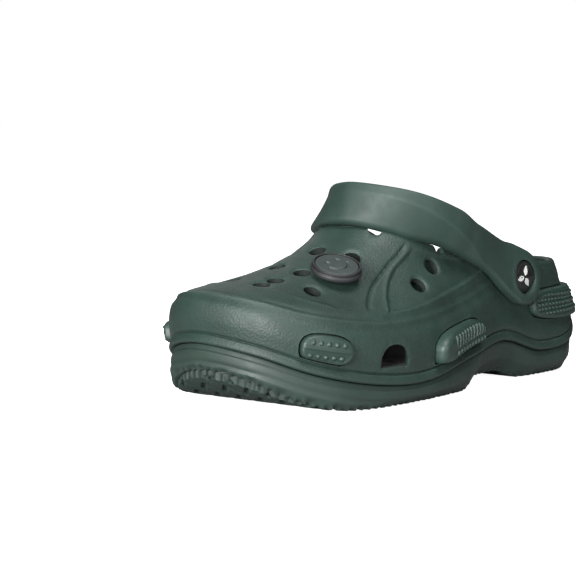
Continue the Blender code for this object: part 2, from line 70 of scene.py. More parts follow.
THROAT = np.array([
    (-4, -37, 78), (9, -36, 77.5), (20, -31, 75.2), (27.8, -20, 71.0), (31, -4, 66.5),
    (32.3, 15, 62), (33.6, 40, 61), (33.5, 68, 56.5), (29.5, 94, 54.5), (17.5, 112.5, 54.5),
    (0, 118.5, 54.5), (-17.5, 112.5, 54.5), (-29.5, 94, 54.5), (-33.5, 68, 56.5), (-34, 40, 61),
    (-32.3, 15, 62), (-30.5, -4, 66.5), (-27.3, -20, 71.0), (-22, -31, 75.2), (-13, -36, 77.5)])
UPPER_THICKNESS = 4.5
TOE_SPRING = 18
HEEL_SPRING = 3.3
ARCH = 5
OUTSOLE_THICKNESS = 7
SEAT_HEIGHT = 15
SEAT_HEEL_RISE = 7
SEAT_TOE_RISE = 14
INSOLE_THICKNESS = 4
VENTS = [(-19, -53), (-1.5, -55), (16.3, -51), (-19, -67), (-9, -75.5), (8.5, -77), (-24, -85),
         (23, -86.5), (5.5, -92.5), (-15.5, -98.5), (5, -101.5), (33.8, -11.7), (37.6, -27.0),
         (-32.6, -18.8)]
VENT_RADIUS = 4.1
CHARM_AT = (19.6, -67)
CHARM_AXIS = np.array([0.34, -0.19, 0.92]) / np.linalg.norm([0.34, -0.19, 0.92])
NOTCHES = [(1.62, 3.4), (4.1, 3.0), (18.38, 3.4), (15.9, 3.0)]
DRAIN_AT = (-62.5, 18.4)
DRAIN_WIDTH = 16
DRAIN_HEIGHT = 10.6
DRAIN_SHOULDER = 3.4
DRAIN_CORNER = 1.6
Pad = namedtuple("Pad", "middle length start_height end_height tall_end tall_middle slant square")
PADS = {  # middle and half length in stations, the rest in millimetres; square is the outline's squareness
    "bumper_front_lateral": Pad(2.12, 0.385, 31.1, 27.1, 6.7, 6.7, 0.03, 2.6),
    "bumper_side_lateral": Pad(4.69, 0.56, 21.6, 28.3, 8.4, 8.6, -0.02, 3.0),
    "bumper_front_medial": Pad(18.04, 0.40, 27.3, 31.5, 6.7, 6.7, -0.03, 2.6),
    "bumper_side_medial": Pad(15.34, 0.56, 27.4, 21.6, 8.4, 8.6, 0.02, 3.0),
    "bumper_heel": Pad(10.0, 3.2, 35.6, 35.6, 8.6, 6.8, 0.0, 7.0),
}
SOFT_END = 3.2  # squareness across the ends of the long pad
LONG_PAD = 2.0  # a half length, in stations, past which a pad wraps round the heel
PAD_DEPTH = 2.5
PAD_CROWN = 3.4
SIDE_PAD_EXTRA = 2.3  # added at the toe end of the side bumpers
PAD_ABOVE_WELT = 1.6
PIVOT = np.array([0, 52.5, 51.0])
STRAP_TILT = math.radians(24)
STRAP_THICKNESS = 5.0
EAR_RADIUS = 13.7
EAR_LEAN = math.tan(math.radians(9))
CAP_RADIUS = 8.3
CAP_THICKNESS = 1.8
CAP_X = 42.4
HOLE_RADIUS = 4.1
CHARM_HEIGHT = 3.8
CHARM_LIFT = 1.9

# Lines moulded in the upper, as (station, upper parameter) along the outer side.
PANEL_BASE = [(0, 0.235), (1, 0.24), (2, 0.235), (2.8, 0.19), (3.4, 0.205), (4, 0.24), (4.5, 0.28),
              (5, 0.36), (5.5, 0.52), (6, 0.72), (6.5, 0.92)]
FRONT_GROOVE = [(2.74, 0.25), (2.58, 0.4), (2.46, 0.54), (2.39, 0.65), (2.42, 0.75), (2.5, 0.85),
                (2.65, 0.92), (2.80, 1.0)]
SIDE_RIDGE = [(3.14, 0.225), (2.97, 0.4), (2.82, 0.54), (2.68, 0.7), (2.69, 0.82), (2.90, 0.925),
              (3.05, 1.0)]

NOTCH_LIFT = 2.2
RIM_REACH = 2.1  # how far the throat's rolled rim stands past the upper
RIM_REACH_FRONT = 1.7  # added over the instep
DRAIN_FLARE = 16.0  # how far the opening widens towards the heel inside
DRAIN_CUT = (36, 52)  # distances from the middle between which the drains are cut
POCKET_GROW = 0.75
PAD_SHOULDER = 1.6
SIDE_PAD_SHOULDER = 3.36
STUD_PITCH = 3.7
STUD_ROW = 3.0
RIB_PITCH = 3.3
DASH_ROWS = ((-1.8, 0.4), (-5.0, 1.2))  # height and shift
CLAW_PITCH = 14.0
TOOTH_PITCH = 4.5
NUB_PITCH = 2.4
NUB_HEIGHT = 0.35
HEEL_NUB_PITCH = (2.4, 2.1)  # along and across the heel bumper
EDGE_BUNCHING = 0.12
LUG_PITCH = 9.5
LUG_ZIGZAG = 13
LUG_DEPTH = 1.6
STRAP_BEND = 50.0  # distance from the pivot where the strap starts to turn in
STRAP_BEND_SHARE = 0.55
STRAP_ANGLES = [0, 20, 38, 56, 74, 90]  # round the front, for the radii of its lower and upper edges
STRAP_RADII = {
    "lateral": ([38.4, 37.2, 37.8, 40.0, 44.0, 46.0], [42.0, 43.0, 45.4, 47.2, 47.8, 48.2]),
    "medial": ([41.0, 42.4, 44.0, 45.0, 46.0, 46.0], [40.6, 39.0, 38.6, 40.8, 45.6, 48.2])}
STRAP_SOFTENING = 16.0
STRAP_FACE_POINTS = 34
CHARM_TURN = math.radians(25)

GREEN = (0.0105, 0.0270, 0.0208)
SOLE_GREEN = (0.0115, 0.0260, 0.0200)
PAD_GREEN = (0.0125, 0.0310, 0.0238)
STRAP_GREEN = (0.0110, 0.0290, 0.0225)
LOOKS = {  # colour, roughness, grain size and grain depth in mm, lightening of the convex edges (partly wear, partly painted highlight)
    "body_foam_green": (GREEN, 0.56, 0.9, 0.26, 0.30),
    # painted shade: a darker copy of the foam green for the walls inside the vents
    "body_foam_painted_shade": (tuple(0.3 * c for c in GREEN), 0.75, 1.0, 0.1, 0.0),
    "outsole_rubber_green": (SOLE_GREEN, 0.60, 0.9, 0.05, 0.25),
    "insole_foam_black": ((0.018, 0.015, 0.015), 0.75, 0.9, 0.06, 0.5),
    "bumper_rubber_green": (PAD_GREEN, 0.48, 0.5, 0.02, 0.45),
    "strap_foam_green": (STRAP_GREEN, 0.62, 0.6, 0.02, 0.25),
    "rivet_plastic_black": ((0.006, 0.007, 0.007), 0.36, 0.4, 0.01, 0.2),
    "rivet_mark_white": ((0.62, 0.62, 0.60), 0.5, 0.4, 0.01, 0.0),
    "charm_rubber_black": ((0.007, 0.008, 0.009), 0.58, 0.5, 0.015, 0.3),
    "charm_rubber_grey": ((0.022, 0.031, 0.029), 0.65, 0.4, 0.01, 0.35)}
WORLD_LIGHT = 0.03
FLOOR_SIZE = 4.0
FLOOR_DROP = 0.0004
FLOOR_GLOW = 0.96
SOFTBOXES = {  # azimuth, elevation, distance in m, size in m, power in W
    "key": (14, 12, 1.6, (0.8, 0.6), 56.0),
    "side": (78, 8, 1.5, (0.30, 0.40), 7.0),
    "top": (62, 66, 1.0, (0.6, 0.6), 11.0),
    "back": (235, 25, 1.6, (0.9, 0.6), 2.5)}
CAMERA_LENS = 138.82
CAMERA_AT = (0.6617, -0.8501, 0.1505)
CAMERA_AIM = (-0.0063, -0.0720, 0.0517)

# Mesh density
SOLE_COLUMNS = 480
INSOLE_COLUMNS = 600
STRAP_COLUMNS = 320
BODY_COLUMNS = 480
UPPER_ROWS = 80
WALL_ROWS = 58


# ---------------------------------------------------------------- curves, as in the CAD

def loop(values, u):
    """Smooth closed curve through the station values, at u from 0 to 1."""
    v = np.asarray(values, float)
    t = np.asarray(u) * STATIONS
    i = np.floor(t).astype(int)
    f = t - i
    if v.ndim > 1:
        f = f[..., None]
    return spline(v[(i - 1) % STATIONS], v[i % STATIONS], v[(i + 1) % STATIONS], v[(i + 2) % STATIONS], f)


def spline(a, b, c, d, f):
    """Catmull-Rom step from b to c."""
    return 0.5 * (2 * b + (c - a) * f + (2 * a - 5 * b + 4 * c - d) * f**2 + (3 * b - a - 3 * c + d) * f**3)


def open_curve(points, count):
    """Smooth open curve through the points, sampled count times."""
    p = np.asarray(points, float)
    ends = np.concatenate([2 * p[:1] - p[1:2], p, 2 * p[-1:] - p[-2:-1]])
    x = np.linspace(0, len(p) - 1, count)
    i = np.minimum(x.astype(int), len(p) - 2)
    f = (x - i).reshape((-1,) + (1,) * (p.ndim - 1))
    return spline(ends[i], ends[i + 1], ends[i + 2], ends[i + 3], f)


def smooth(x, low, high):
    """Soft step from 0 at low to 1 at high."""
    t = np.clip((x - low) / (high - low), 0, 1)
    return t * t * (3 - 2 * t)


def bell(x, width):
    return np.exp(-(x / width)**2)


def wave(x, pitch):
    """Cosine between 0 and 1."""
    return 0.5 + 0.5 * np.cos(x * TURN / pitch)


def round_angles(count):
    return np.arange(count) * TURN / count


def shoulder(edge, radius):
    """Drop of a rounded shoulder at a distance from its edge."""
    short = np.clip(radius - edge, 0, radius)
    return radius - np.sqrt(np.maximum(radius**2 - short**2, 0))


def inward(u):
    """Horizontal direction from the outline towards the foot."""
    step = 1e-3
    along = loop(OUTLINE, u + step) - loop(OUTLINE, u - step)
    along /= np.linalg.norm(along, axis=-1, keepdims=True)
    return np.stack([-along[..., 1], along[..., 0]], -1)


def wall(u, inset, z):
    """Point of a vertical wall set in from the outline."""
    u = np.asarray(u, float)
    inset = np.broadcast_to(inset, u.shape)
    flat = loop(OUTLINE, u) + inward(u) * inset[..., None]
    return np.concatenate([flat, np.broadcast_to(z, u.shape)[..., None]], -1)


def tread(y):
    heel = HEEL_SPRING * np.clip((y - 105) / 25, 0, None)**2
    waist = ARCH * smooth(y, 2, 22) * (1 - smooth(y, 40, 60))
    return TOE_SPRING * np.clip((-66 - y) / 63, 0, None)**3.2 + heel + waist


def floor_level(y):
    return tread(y) + OUTSOLE_THICKNESS


def seat_level(y):
    toe = SEAT_TOE_RISE * np.clip((-66 - y) / 63, 0, None)**2.6
    return SEAT_HEIGHT + toe + SEAT_HEEL_RISE * smooth(y, -50, 60)


def on_level(u, inset, level, offset=0.0):
    ring = wall(u, inset, 0)
    ring[..., 2] = level(ring[..., 1]) + offset
    return ring


def skin_profile(u):
    """Insets and heights of the outer wall from the welt's top up to the bumper edge."""
    top = loop(WELT_LOW, u) + WELT_HEIGHT
    rise = loop(EDGE_HEIGHT, u) - top
    insets = [1.4 + loop(WALL_LOW_INSET, u) * 0.6, loop(WALL_LOW_INSET, u), loop(WALL_MID_INSET, u),
              loop(WALL_HIGH_INSET, u), loop(EDGE_INSET, u)]
    heights = [top, top + 0.12 * rise, top + 0.4 * rise, top + 0.75 * rise, top + rise]
    return np.array(insets), np.array(heights)


def upper(u, t):
    """The upper, from the bumper edge (t = 0) to the throat (t = 1)."""
    u = np.asarray(u, float)
    start = wall(u, loop(EDGE_INSET, u), loop(EDGE_HEIGHT, u))
    end = loop(THROAT, u)
    toe = smooth(-start[..., 1], -10, 100)[..., None]
    span = end - start
    leave = span * np.concatenate([0.55 + 0.13 * toe, 0.55 + 0.13 * toe, 1.35 - 0.77 * toe], -1)
    arrive = span * np.concatenate([1.1 - 0.02 * toe, 1.1 - 0.02 * toe, 0.85 + 1.6 * toe], -1)
    t = np.asarray(t, float)[..., None]
    return (start * (2 * t**3 - 3 * t**2 + 1) + leave * (t**3 - 2 * t**2 + t)
            + end * (3 * t**2 - 2 * t**3) + arrive * (t**3 - t**2))


def upper_normal(u, t):
    step = 1e-3
    along = upper(u + step, t) - upper(u - step, t)
    t = np.asarray(t, float)
    up = upper(u, np.minimum(t + step, 1)) - upper(u, np.minimum(t + step, 1) - 2 * step)
    normal = np.cross(along, up)
    return normal / np.linalg.norm(normal, axis=-1, keepdims=True)


def find_on_upper(x, y):
    """Point and normal of the upper above a plan position."""
    u, t = np.meshgrid(np.arange(0, 1, 0.002), np.linspace(0, 1, 201), indexing="ij")
    points = upper(u, t)
    k = np.hypot(points[..., 0] - x, points[..., 1] - y).argmin()
    u, t = u.reshape(-1)[k], t.reshape(-1)[k]
    return upper(np.array(u), np.array(t)), upper_normal(np.array(u), np.array(t))


# ---------------------------------------------------------------- mesh tools

def linked(name, data):
    """New object in the scene."""
    obj = bpy.data.objects.new(name, data)
    bpy.context.scene.collection.objects.link(obj)
    return obj


def mesh_object(name, points, faces, sharp=38):
    """Mesh from points in millimetres, moved to the row frame in metres."""
    mesh = bpy.data.meshes.new(name)
    mesh.from_pydata(((np.asarray(points, float) - CENTRE) * MM).tolist(), [], faces)
    obj = linked(name, mesh)
    shade(obj, sharp)
    return obj


def shade(obj, sharp):
    obj.data.shade_smooth()
    obj.data.set_sharp_from_angle(angle=math.radians(sharp))


def ring_faces(rows, columns, start=0):
    """Quads between closed rings stored row by row, facing out when the rings go up the outside."""
    r, c = np.meshgrid(np.arange(rows - 1), np.arange(columns), indexing="ij")
    a = start + r * columns + c
    b = start + r * columns + (c + 1) % columns
    return np.stack([a, b, b + columns, a + columns], -1).reshape(-1, 4).tolist()


def grid_faces(rows, columns):
    """Quads of an open grid stored row by row."""
    r, c = np.meshgrid(np.arange(rows - 1), np.arange(columns - 1), indexing="ij")
    a = (r * columns + c).ravel()
    return np.stack([a, a + 1, a + columns + 1, a + columns], -1).tolist()


def cross_fill(ring, points, across, drape, flip):
    """Rows that join a ring's mirrored points. Returns new points and faces; drape sets their places."""
    count = len(ring)
    start = len(points)
    inner = []
    rows = [[ring[0]]]
    for i in range(1, count // 2):
        a, b = points[ring[i]], points[ring[count - i]]
        share = np.linspace(0, 1, across + 2)[1:-1, None]
        rows.append([ring[i], *range(start + len(inner), start + len(inner) + across), ring[count - i]])
        inner.extend(drape(a + (b - a) * share))
    rows.append([ring[count // 2]])
    faces = []
    for low, high in zip(rows, rows[1:]):
        for k in range(max(len(low), len(high)) - 1):
            corner = [low[min(k, len(low) - 1)], low[min(k + 1, len(low) - 1)],
                      high[min(k + 1, len(high) - 1)], high[min(k, len(high) - 1)]]
            face = list(dict.fromkeys(corner))
            faces.append(face[::-1] if flip else face)
    return inner, faces


def closed_rings(name, rings, bottom, top, across=(4, 4), sharp=38):
    """Closed solid from rings that go up the outside, with both ends filled."""
    rings = np.asarray(rings)
    rows, columns = rings.shape[:2]
    points = list(rings.reshape(-1, 3))
    faces = ring_faces(rows, columns)
    for ring, drape, n, flip in ((range(columns), bottom, across[0], False),
                                 (range((rows - 1) * columns, rows * columns), top, across[1], True)):
        more, fill = cross_fill(list(ring), points, n, drape, flip)
        points.extend(more)
        faces.extend(fill)
    return mesh_object(name, points, faces, sharp)


def as_is(points):
    return points


def turned(profile, matrix, segments):
    """Points and faces of a solid of revolution; profile is (radius, height) from the top's centre down."""
    points, rows, faces = [], [], []
    for radius, height in profile:
        angles = round_angles(segments)[:1 if radius == 0 else None]
        rows.append(range(len(points), len(points) + len(angles)))
        points.extend(matrix @ Vector((radius * math.cos(a), radius * math.sin(a), height)) for a in angles)
    for top, low in zip(rows, rows[1:]):
        for k in range(segments):
            j = (k + 1) % segments
            corner = [top[k % len(top)], low[k % len(low)], low[j % len(low)], top[j % len(top)]]
            faces.append(list(dict.fromkeys(corner)))
    return [tuple(p) for p in points], faces


def turn_to(axis, at):
    """Matrix that stands local +Z along axis at a point."""
    return Matrix.Translation(Vector(at)) @ Vector(axis).to_track_quat("Z", "Y").to_matrix().to_4x4()


def merged(parts):
    """One list of points and faces from several."""
    points, faces = [], []
    for p, f in parts:
        faces.extend([[i + len(points) for i in face] for face in f])
        points.extend(p)
    return points, faces


def cut(obj, tool):
    """Take tool out of obj for good, and remove the tool."""
    modifier = obj.modifiers.new("cut", "BOOLEAN")
    modifier.operation = "DIFFERENCE"
    modifier.solver = "EXACT"
    modifier.object = tool
    bpy.context.view_layer.update()
    graph = bpy.context.evaluated_depsgraph_get()
    mesh = bpy.data.meshes.new_from_object(obj.evaluated_get(graph))
    obj.modifiers.clear()
    obj.data = mesh
    bpy.data.objects.remove(tool, do_unlink=True)


def distance(points, line):
    """Distance from each point to a densely sampled line."""
    flat = points.reshape(-1, points.shape[-1])
    out = np.empty(len(flat))
    for i in range(0, len(flat), 3000):
        gap = flat[i:i + 3000, None] - line[None]
        out[i:i + 3000] = np.sqrt((gap**2).sum(-1).min(-1))
    return out.reshape(points.shape[:-1])


# ---------------------------------------------------------------- body

def body_columns():
    """Positions round the shoe, closer together along the bumpers and drains, and mirrored."""
    k = np.linspace(0, 10, 2001)
    density = 1 + 0.9 * smooth(k, 1.2, 1.6) * (1 - smooth(k, 5.4, 5.8)) + 0.4 * smooth(k, 6.4, 6.8)
    total = np.concatenate([[0], np.cumsum((density[1:] + density[:-1]) / 2)])
    half = np.interp(np.linspace(0, total[-1], BODY_COLUMNS // 2 + 1), total, k) / STATIONS
    return np.concatenate([half, 1 - half[-2:0:-1]])


def line_gap(points, line):
    """Distance to a line on the upper, given as (station, parameter) points and mirrored."""
    k, t = open_curve(line, 420).T
    return np.minimum(*[distance(points, upper(side / STATIONS, t)) for side in (k, STATIONS - k)])


def panel_relief(u, t, points):
    """Height of the moulded panels, grooves and ridges on the upper."""
    k = np.minimum(u, 1 - u) * STATIONS
    base = np.array(PANEL_BASE)
    ridge = open_curve(SIDE_RIDGE, 60)
    groove = open_curve(FRONT_GROOVE, 60)
    base_at = np.interp(k, base[:, 0], base[:, 1])
    ridge_at = np.interp(t, ridge[:, 1], ridge[:, 0])
    groove_at = np.interp(t, groove[:, 1], groove[:, 0])
    d_base = line_gap(points, [(3.14, 0.225)] + [p for p in PANEL_BASE if p[0] > 3.2])
    d_front = line_gap(points, [p for p in PANEL_BASE if p[0] < 2.8])
    d_groove = line_gap(points, FRONT_GROOVE)
    d_side = np.minimum(d_base, line_gap(points, SIDE_RIDGE))
    in_side = (k > ridge_at) & (t > base_at) & (k < 6.6)
    in_front = (k < groove_at) & (t > base_at)
    rim = 1 - smooth(t, 0.93, 0.985)
    back = 1 - smooth(k, 5.7, 6.4)
    fade = rim * back
    depth_side = np.where(in_side, d_side, -d_side)
    relief = (0.28 * bell(depth_side + 0.7, 0.8) - 1.0 * smooth(depth_side, -0.2, 1.3)) * fade
    top_fade = 1 - smooth(t, 0.95, 1.0)
    low_fade = smooth(t, 0.2, 0.3)
    relief -= 0.95 * bell(d_groove, 0.8) * top_fade * low_fade
    depth_front = np.where(in_front, d_front, -d_front)
    front_fade = rim * (1 - smooth(k, 2.3, 2.8))
    relief += (0.22 * bell(depth_front + 0.6, 1.0) - 0.35 * smooth(depth_front, -0.2, 2.5)) * front_fade
    edge_gap = distance(points, upper(np.linspace(0, 1, 1500), np.zeros(1500)))
    ridge_fade = 1 - smooth(k, 5.6, 6.3)
    return relief + (0.30 * bell(edge_gap, 0.8) - 0.35 * bell(edge_gap - 2.4, 1.4)) * ridge_fade


def hole_axes():
    return [find_on_upper(x, y) for x, y in VENTS] + [(find_on_upper(*CHARM_AT)[0], CHARM_AXIS)]


def notch_axes():
    axes = []
    throat = np.array(1.0)
    for station, radius in NOTCHES:
        u = np.array(station / STATIONS)
        normal = upper_normal(u, throat) * np.array([1, 1, 0.2])
        middle = upper(u, throat) + np.array([0, 0, NOTCH_LIFT])
        axes.append((middle, normal / np.linalg.norm(normal), radius))
    return axes


def from_axis(points, at, axis):
    """Distance of points along an axis and away from it."""
    away = points - at
    along = away @ axis
    return along, np.linalg.norm(away - along[..., None] * axis, axis=-1)


def paint_vent_shade(shell, axes):
    """Paint shade on the walls inside the vents: they get the second material, a darker copy of the foam
    green.
    """
    faces = shell.data.polygons
    count = len(faces)
    centres, normals = np.empty(3 * count), np.empty(3 * count)
    faces.foreach_get("center", centres)
    faces.foreach_get("normal", normals)
    centres = centres.reshape(-1, 3) / MM + CENTRE
    normals = normals.reshape(-1, 3)
    slots = np.zeros(count, int)
    for at, axis in axes:
        along, radius = from_axis(centres, at, axis)
        inside = (radius < VENT_RADIUS + 0.05) & (np.abs(along) < 8)
        slots[inside & (np.abs(normals @ axis) < 0.5)] = 1
    faces.foreach_set("material_index", slots)


def drain_outline():
    """Arched opening with a flat sill and small corner radii, as (y, z) points."""
    y, sill = DRAIN_AT
    half = DRAIN_WIDTH / 2
    spring = sill + DRAIN_SHOULDER
    arch = DRAIN_HEIGHT - DRAIN_SHOULDER
    shape = [(y + half * math.cos(a), spring + arch * math.sin(a)) for a in np.linspace(0, math.pi, 25)]
    for side, start in ((-1, math.pi), (1, 1.5 * math.pi)):
        for a in np.linspace(start, start + math.pi / 2, 6):
            shape.append((y + side * (half - DRAIN_CORNER) + DRAIN_CORNER * math.cos(a),
                          sill + DRAIN_CORNER + DRAIN_CORNER * math.sin(a)))
    return shape


def lips(points, axes, notches):
    """How far the surface dips towards the edges of the openings, for rounded lips."""
    dip = np.zeros(points.shape[:-1])
    holes = [(at, axis, VENT_RADIUS - 0.4, 1.6, 0.8, 6) for at, axis in axes]
    holes += [(at, axis, radius, 1.1, 0.5, 5) for at, axis, radius in notches]
    for at, axis, start, width, depth, reach in holes:
        along, radius = from_axis(points, at, axis)
        near = np.abs(along[..., None] * axis).max(-1) < reach
        dip = np.maximum(dip, np.where(near, depth * (1 - smooth(radius, start, start + width)), 0))
    flat = points[..., 1:]
    outline = np.array(drain_outline())
    gap = np.full(points.shape[:-1], 99.0)
    low = np.abs(points[..., 0]) > 36
    near = low & (np.abs(flat[..., 0] - DRAIN_AT[0]) < 14) & (flat[..., 1] < 34)
    gap[near] = np.sqrt(((flat[near][:, None] - outline[None])**2).sum(-1)).min(-1)
    return np.maximum(dip, 0.7 * (1 - smooth(gap, 0, 1.3)))


def body_rings(u, axes):
    """Rings of the shell: underside, welt, wall, upper, rounded rim, lining and seat."""
    low = loop(WELT_LOW, u)
    insets, heights = skin_profile(u)
    none = 0 * u
    welt = [(4.0 + none, low - 0.2), (1.3 + none, low), (0.3 + none, low + 0.45), (none, low + 1.3),
            (0.35 + none, low + 2.8), (0.9 + none, low + 4.1), (1.45 + none, low + 4.45),
            (1.75 + none, low + 4.75), (1.5 + none, low + 5.2), (0.95 + none, low + 5.7)]
    profile = np.array(welt + [(i, h) for i, h in zip(insets[1:], heights[1:])])
    outer_wall = open_curve(profile, WALL_ROWS)
    rings = [on_level(u, 11, floor_level), wall(u, 6, low - 0.5)]
    rings += [wall(u, row[0], row[1]) for row in outer_wall]
    first_upper = len(rings)
    steps = np.linspace(0, 1, UPPER_ROWS + 1)[1:]
    rings += [upper(u, np.full(u.shape, t)) for t in steps]
    outer = np.array(rings[2:])
    seam = first_upper - 2
    low, high = seam - 4, seam + 5
    for _ in range(2):
        outer[low:high] = (outer[low - 1:high - 1] + 2 * outer[low:high] + outer[low + 1:high + 1]) / 4
    normals = np.cross(np.roll(outer, -1, 1) - np.roll(outer, 1, 1), np.gradient(outer, axis=0))
    normals /= np.linalg.norm(normals, axis=-1, keepdims=True)
    t = np.concatenate([[0] * seam, steps])[:, None] + none
    relief = np.zeros(outer.shape[:-1])
    start = seam - 6
    relief[start:] = panel_relief(np.broadcast_to(u, t.shape)[start:], t[start:], outer[start:])
    relief -= lips(outer, axes, notch_axes())
    outer = outer + normals * relief[..., None]
    throat = np.ones(u.shape)
    throat_normal = upper_normal(u, throat)
    over = np.cross(throat_normal, upper(u + 1e-3, throat) - upper(u - 1e-3, throat))
    over /= np.linalg.norm(over, axis=-1, keepdims=True)
    half = UPPER_THICKNESS / 2
    centre = upper(u, throat) - throat_normal * half
    reach = (RIM_REACH + RIM_REACH_FRONT * (1 - smooth(centre[:, 1], -5, 30)))[:, None]
    rim = [centre + half * math.cos(a) * throat_normal + reach * math.sin(a) * over
           for a in np.linspace(0, math.pi, 10)[1:-1]]
    lining = []
    for s in np.linspace(1, 1 / 14, 14):
        ring = np.full(u.shape, s)
        lining.append(upper(u, ring) - upper_normal(u, ring) * UPPER_THICKNESS)
    top = heights[0]
    rise = heights[-1] - top
    seat_edge = seat_level(loop(OUTLINE, u)[:, 1])
    inner = [(insets[-1] + 4.2, top + 0.93 * rise), (7 + insets[2], top + 0.5 * rise),
             (8.5 + none, np.maximum(top + 3, seat_edge + 3.5))]
    lining += [wall(u, row[0], row[1]) for row in open_curve(np.array(inner), 8)]
    lining += [on_level(u, 11, seat_level, 2), on_level(u, 13, seat_level)]
    return np.concatenate([np.array(rings[:2]), outer, np.array(rim), np.array(lining)])


def shell_cutters(axes):
    """Vents, rim notches, drains and rivet holes as one tool."""
    parts = []
    reach = 9
    holes = [(at, axis, VENT_RADIUS, 48) for at, axis in axes]
    holes += [(at, axis, radius, 40) for at, axis, radius in notch_axes()]
    for at, axis, radius, segments in holes:
        profile = [(0, reach), (radius, reach), (radius, -reach), (0, -reach)]
        parts.append(turned(profile, turn_to(axis, at), segments))
    shape = drain_outline()
    inside, outside = DRAIN_CUT
    for side in (1, -1):
        profile = [(0, 45), (HOLE_RADIUS, 45), (HOLE_RADIUS, 26), (0, 26)]
        parts.append(turned(profile, turn_to((side, 0, 0), PIVOT), 32))
        count = len(shape)
        inner = [(y + DRAIN_FLARE * smooth(y, DRAIN_AT[0] - 2, DRAIN_AT[0] + 4), z) for y, z in shape]
        points = [(side * inside, y, z) for y, z in inner] + [(side * outside, y, z) for y, z in shape]
        faces = [list(range(count))[::-side], list(range(count, 2 * count))[::side]]
        for i in range(count):
            j = (i + 1) % count
            faces.append([i, i + count, j + count, j][::-side])
        parts.append((points, faces))
    return mesh_object("tool", *merged(parts))


# ---------------------------------------------------------------- bumper pads

def skin(u, z, proud):
    """Points on the outer wall at height z, moved outwards."""
    insets, heights = skin_profile(u)
    flat = np.array([np.interp(q, h, i) for q, h, i in
                     zip(np.ravel(z), heights.reshape(5, -1).T, insets.reshape(5, -1).T)])
    return wall(u, flat.reshape(u.shape) - proud, z)


def pad_place(spec, a, b, proud, grow=0.0):
    """Point of a pad from its coordinates along (a) and across (b), both from -1 to 1."""
    u = (spec.middle + a * (spec.length + grow / 26) + spec.slant * b) / STATIONS
    tall = spec.tall_middle + (spec.tall_end - spec.tall_middle) * np.abs(a)**2 + grow
    level, climb = (spec.start_height + spec.end_height) / 2, (spec.end_height - spec.start_height) / 2
    z = level + climb * a + tall * b
    lowest = loop(WELT_LOW, u) + WELT_HEIGHT + PAD_ABOVE_WELT - grow
    return skin(u, np.maximum(z, lowest), proud)


def outline_radius(angle, square):
    """Radius of the pad's superellipse in direction angle."""
    c = np.abs(np.cos(angle))
    s = np.abs(np.sin(angle))
    soft = min(square, SOFT_END)
    low = np.zeros(np.shape(angle)) + 0.9
    high = low + 0.7
    for _ in range(30):
        mid = (low + high) / 2
        inside = (mid * c)**square + (mid * s)**soft < 1
        low = np.where(inside, mid, low)
        high = np.where(inside, high, mid)
    return low


def pad_outline(spec, angles):
    """Points (a, b) of a pad's outline; a long pad has its angles bunched towards the ends."""
    if spec.length > LONG_PAD:
        angles = np.arctan2(np.sin(angles) * EDGE_BUNCHING, np.cos(angles))
    radius = outline_radius(angles, spec.square)
    return radius * np.cos(angles), radius * np.sin(angles)


def pocket_tool(name):
    """Closed tool that cuts a pad's pocket into the wall."""
    spec = PADS[name]
    count = 560 if spec.length > LONG_PAD else 240
    a, b = pad_outline(spec, round_angles(count))
    rings = [pad_place(spec, a, b, proud, POCKET_GROW) for proud in (-2.8, 0, 7)]
    return closed_rings("tool", rings, as_is, as_is, (2, 2))


def pad_object(name, along, across, relief):
    """Pad with rounded shoulders; relief(x, y, edge) is its pattern, in millimetres from its middle."""
    spec = PADS[name]
    p, q = np.meshgrid(np.linspace(-1, 1, along), np.linspace(-1, 1, across), indexing="ij")
    if spec.length > LONG_PAD:
        a = np.sign(p) * (1 - (1 - np.abs(p))**1.15)
        b = q * (1 - np.abs(a)**spec.square)**(1 / SOFT_END)
    else:
        x, y = p * np.sqrt(1 - q**2 / 2), q * np.sqrt(1 - p**2 / 2)
        radius = outline_radius(np.arctan2(y, x), spec.square)
        a, b = x * radius, y * radius
    station = spec.middle / STATIONS
    pace = np.linalg.norm(loop(OUTLINE, station + 0.01) - loop(OUTLINE, station - 0.01)) / 0.02 / STATIONS
    half_length, half_height = spec.length * pace, (spec.tall_end + spec.tall_middle) / 2
    edge_a, edge_b = pad_outline(spec, np.linspace(0, TURN, 1441))
    x, y = a * half_length, b * half_height
    edge = distance(np.stack([x, y], -1), np.stack([edge_a * half_length, edge_b * half_height], -1))
    crown, rounding = PAD_CROWN, PAD_SHOULDER
    if "side" in name:
        heelward = x if "lateral" in name else -x
        crown = crown + SIDE_PAD_EXTRA * (1 - 0.85 * smooth(heelward, -16, 6))
        rounding = SIDE_PAD_SHOULDER
    proud = crown - shoulder(edge, rounding) + relief(x, y, edge)
    top = pad_place(spec, a, b, proud)
    border = [(i, 0) for i in range(along)]
    border += [(along - 1, j) for j in range(1, across)]
    border += [(i, across - 1) for i in range(along - 2, -1, -1)]
    border += [(0, j) for j in range(across - 2, 0, -1)]
    rows, columns = np.array(border).T
    points = list(top.reshape(-1, 3))
    faces = grid_faces(along, across)
    upper_ring = (rows * across + columns).tolist()
    count = len(border)
    start = len(points)
    for depth in (0.3, -PAD_DEPTH):
        points.extend(pad_place(spec, a[rows, columns], b[rows, columns], depth))
    side_ring = range(start, start + count)
    under = list(range(start + count, start + 2 * count))
    for ring, low in ((upper_ring, side_ring), (side_ring, under)):
        for i in range(count):
            j = (i + 1) % count
            faces.append([ring[j], ring[i], low[i], low[j]])
    front = under[:along]
    back = under[along + across - 2:2 * along + across - 2][::-1]
    for i in range(along - 1):
        faces.append([front[i], back[i], back[i + 1], front[i + 1]])
    return finish_mesh(name, points, faces)


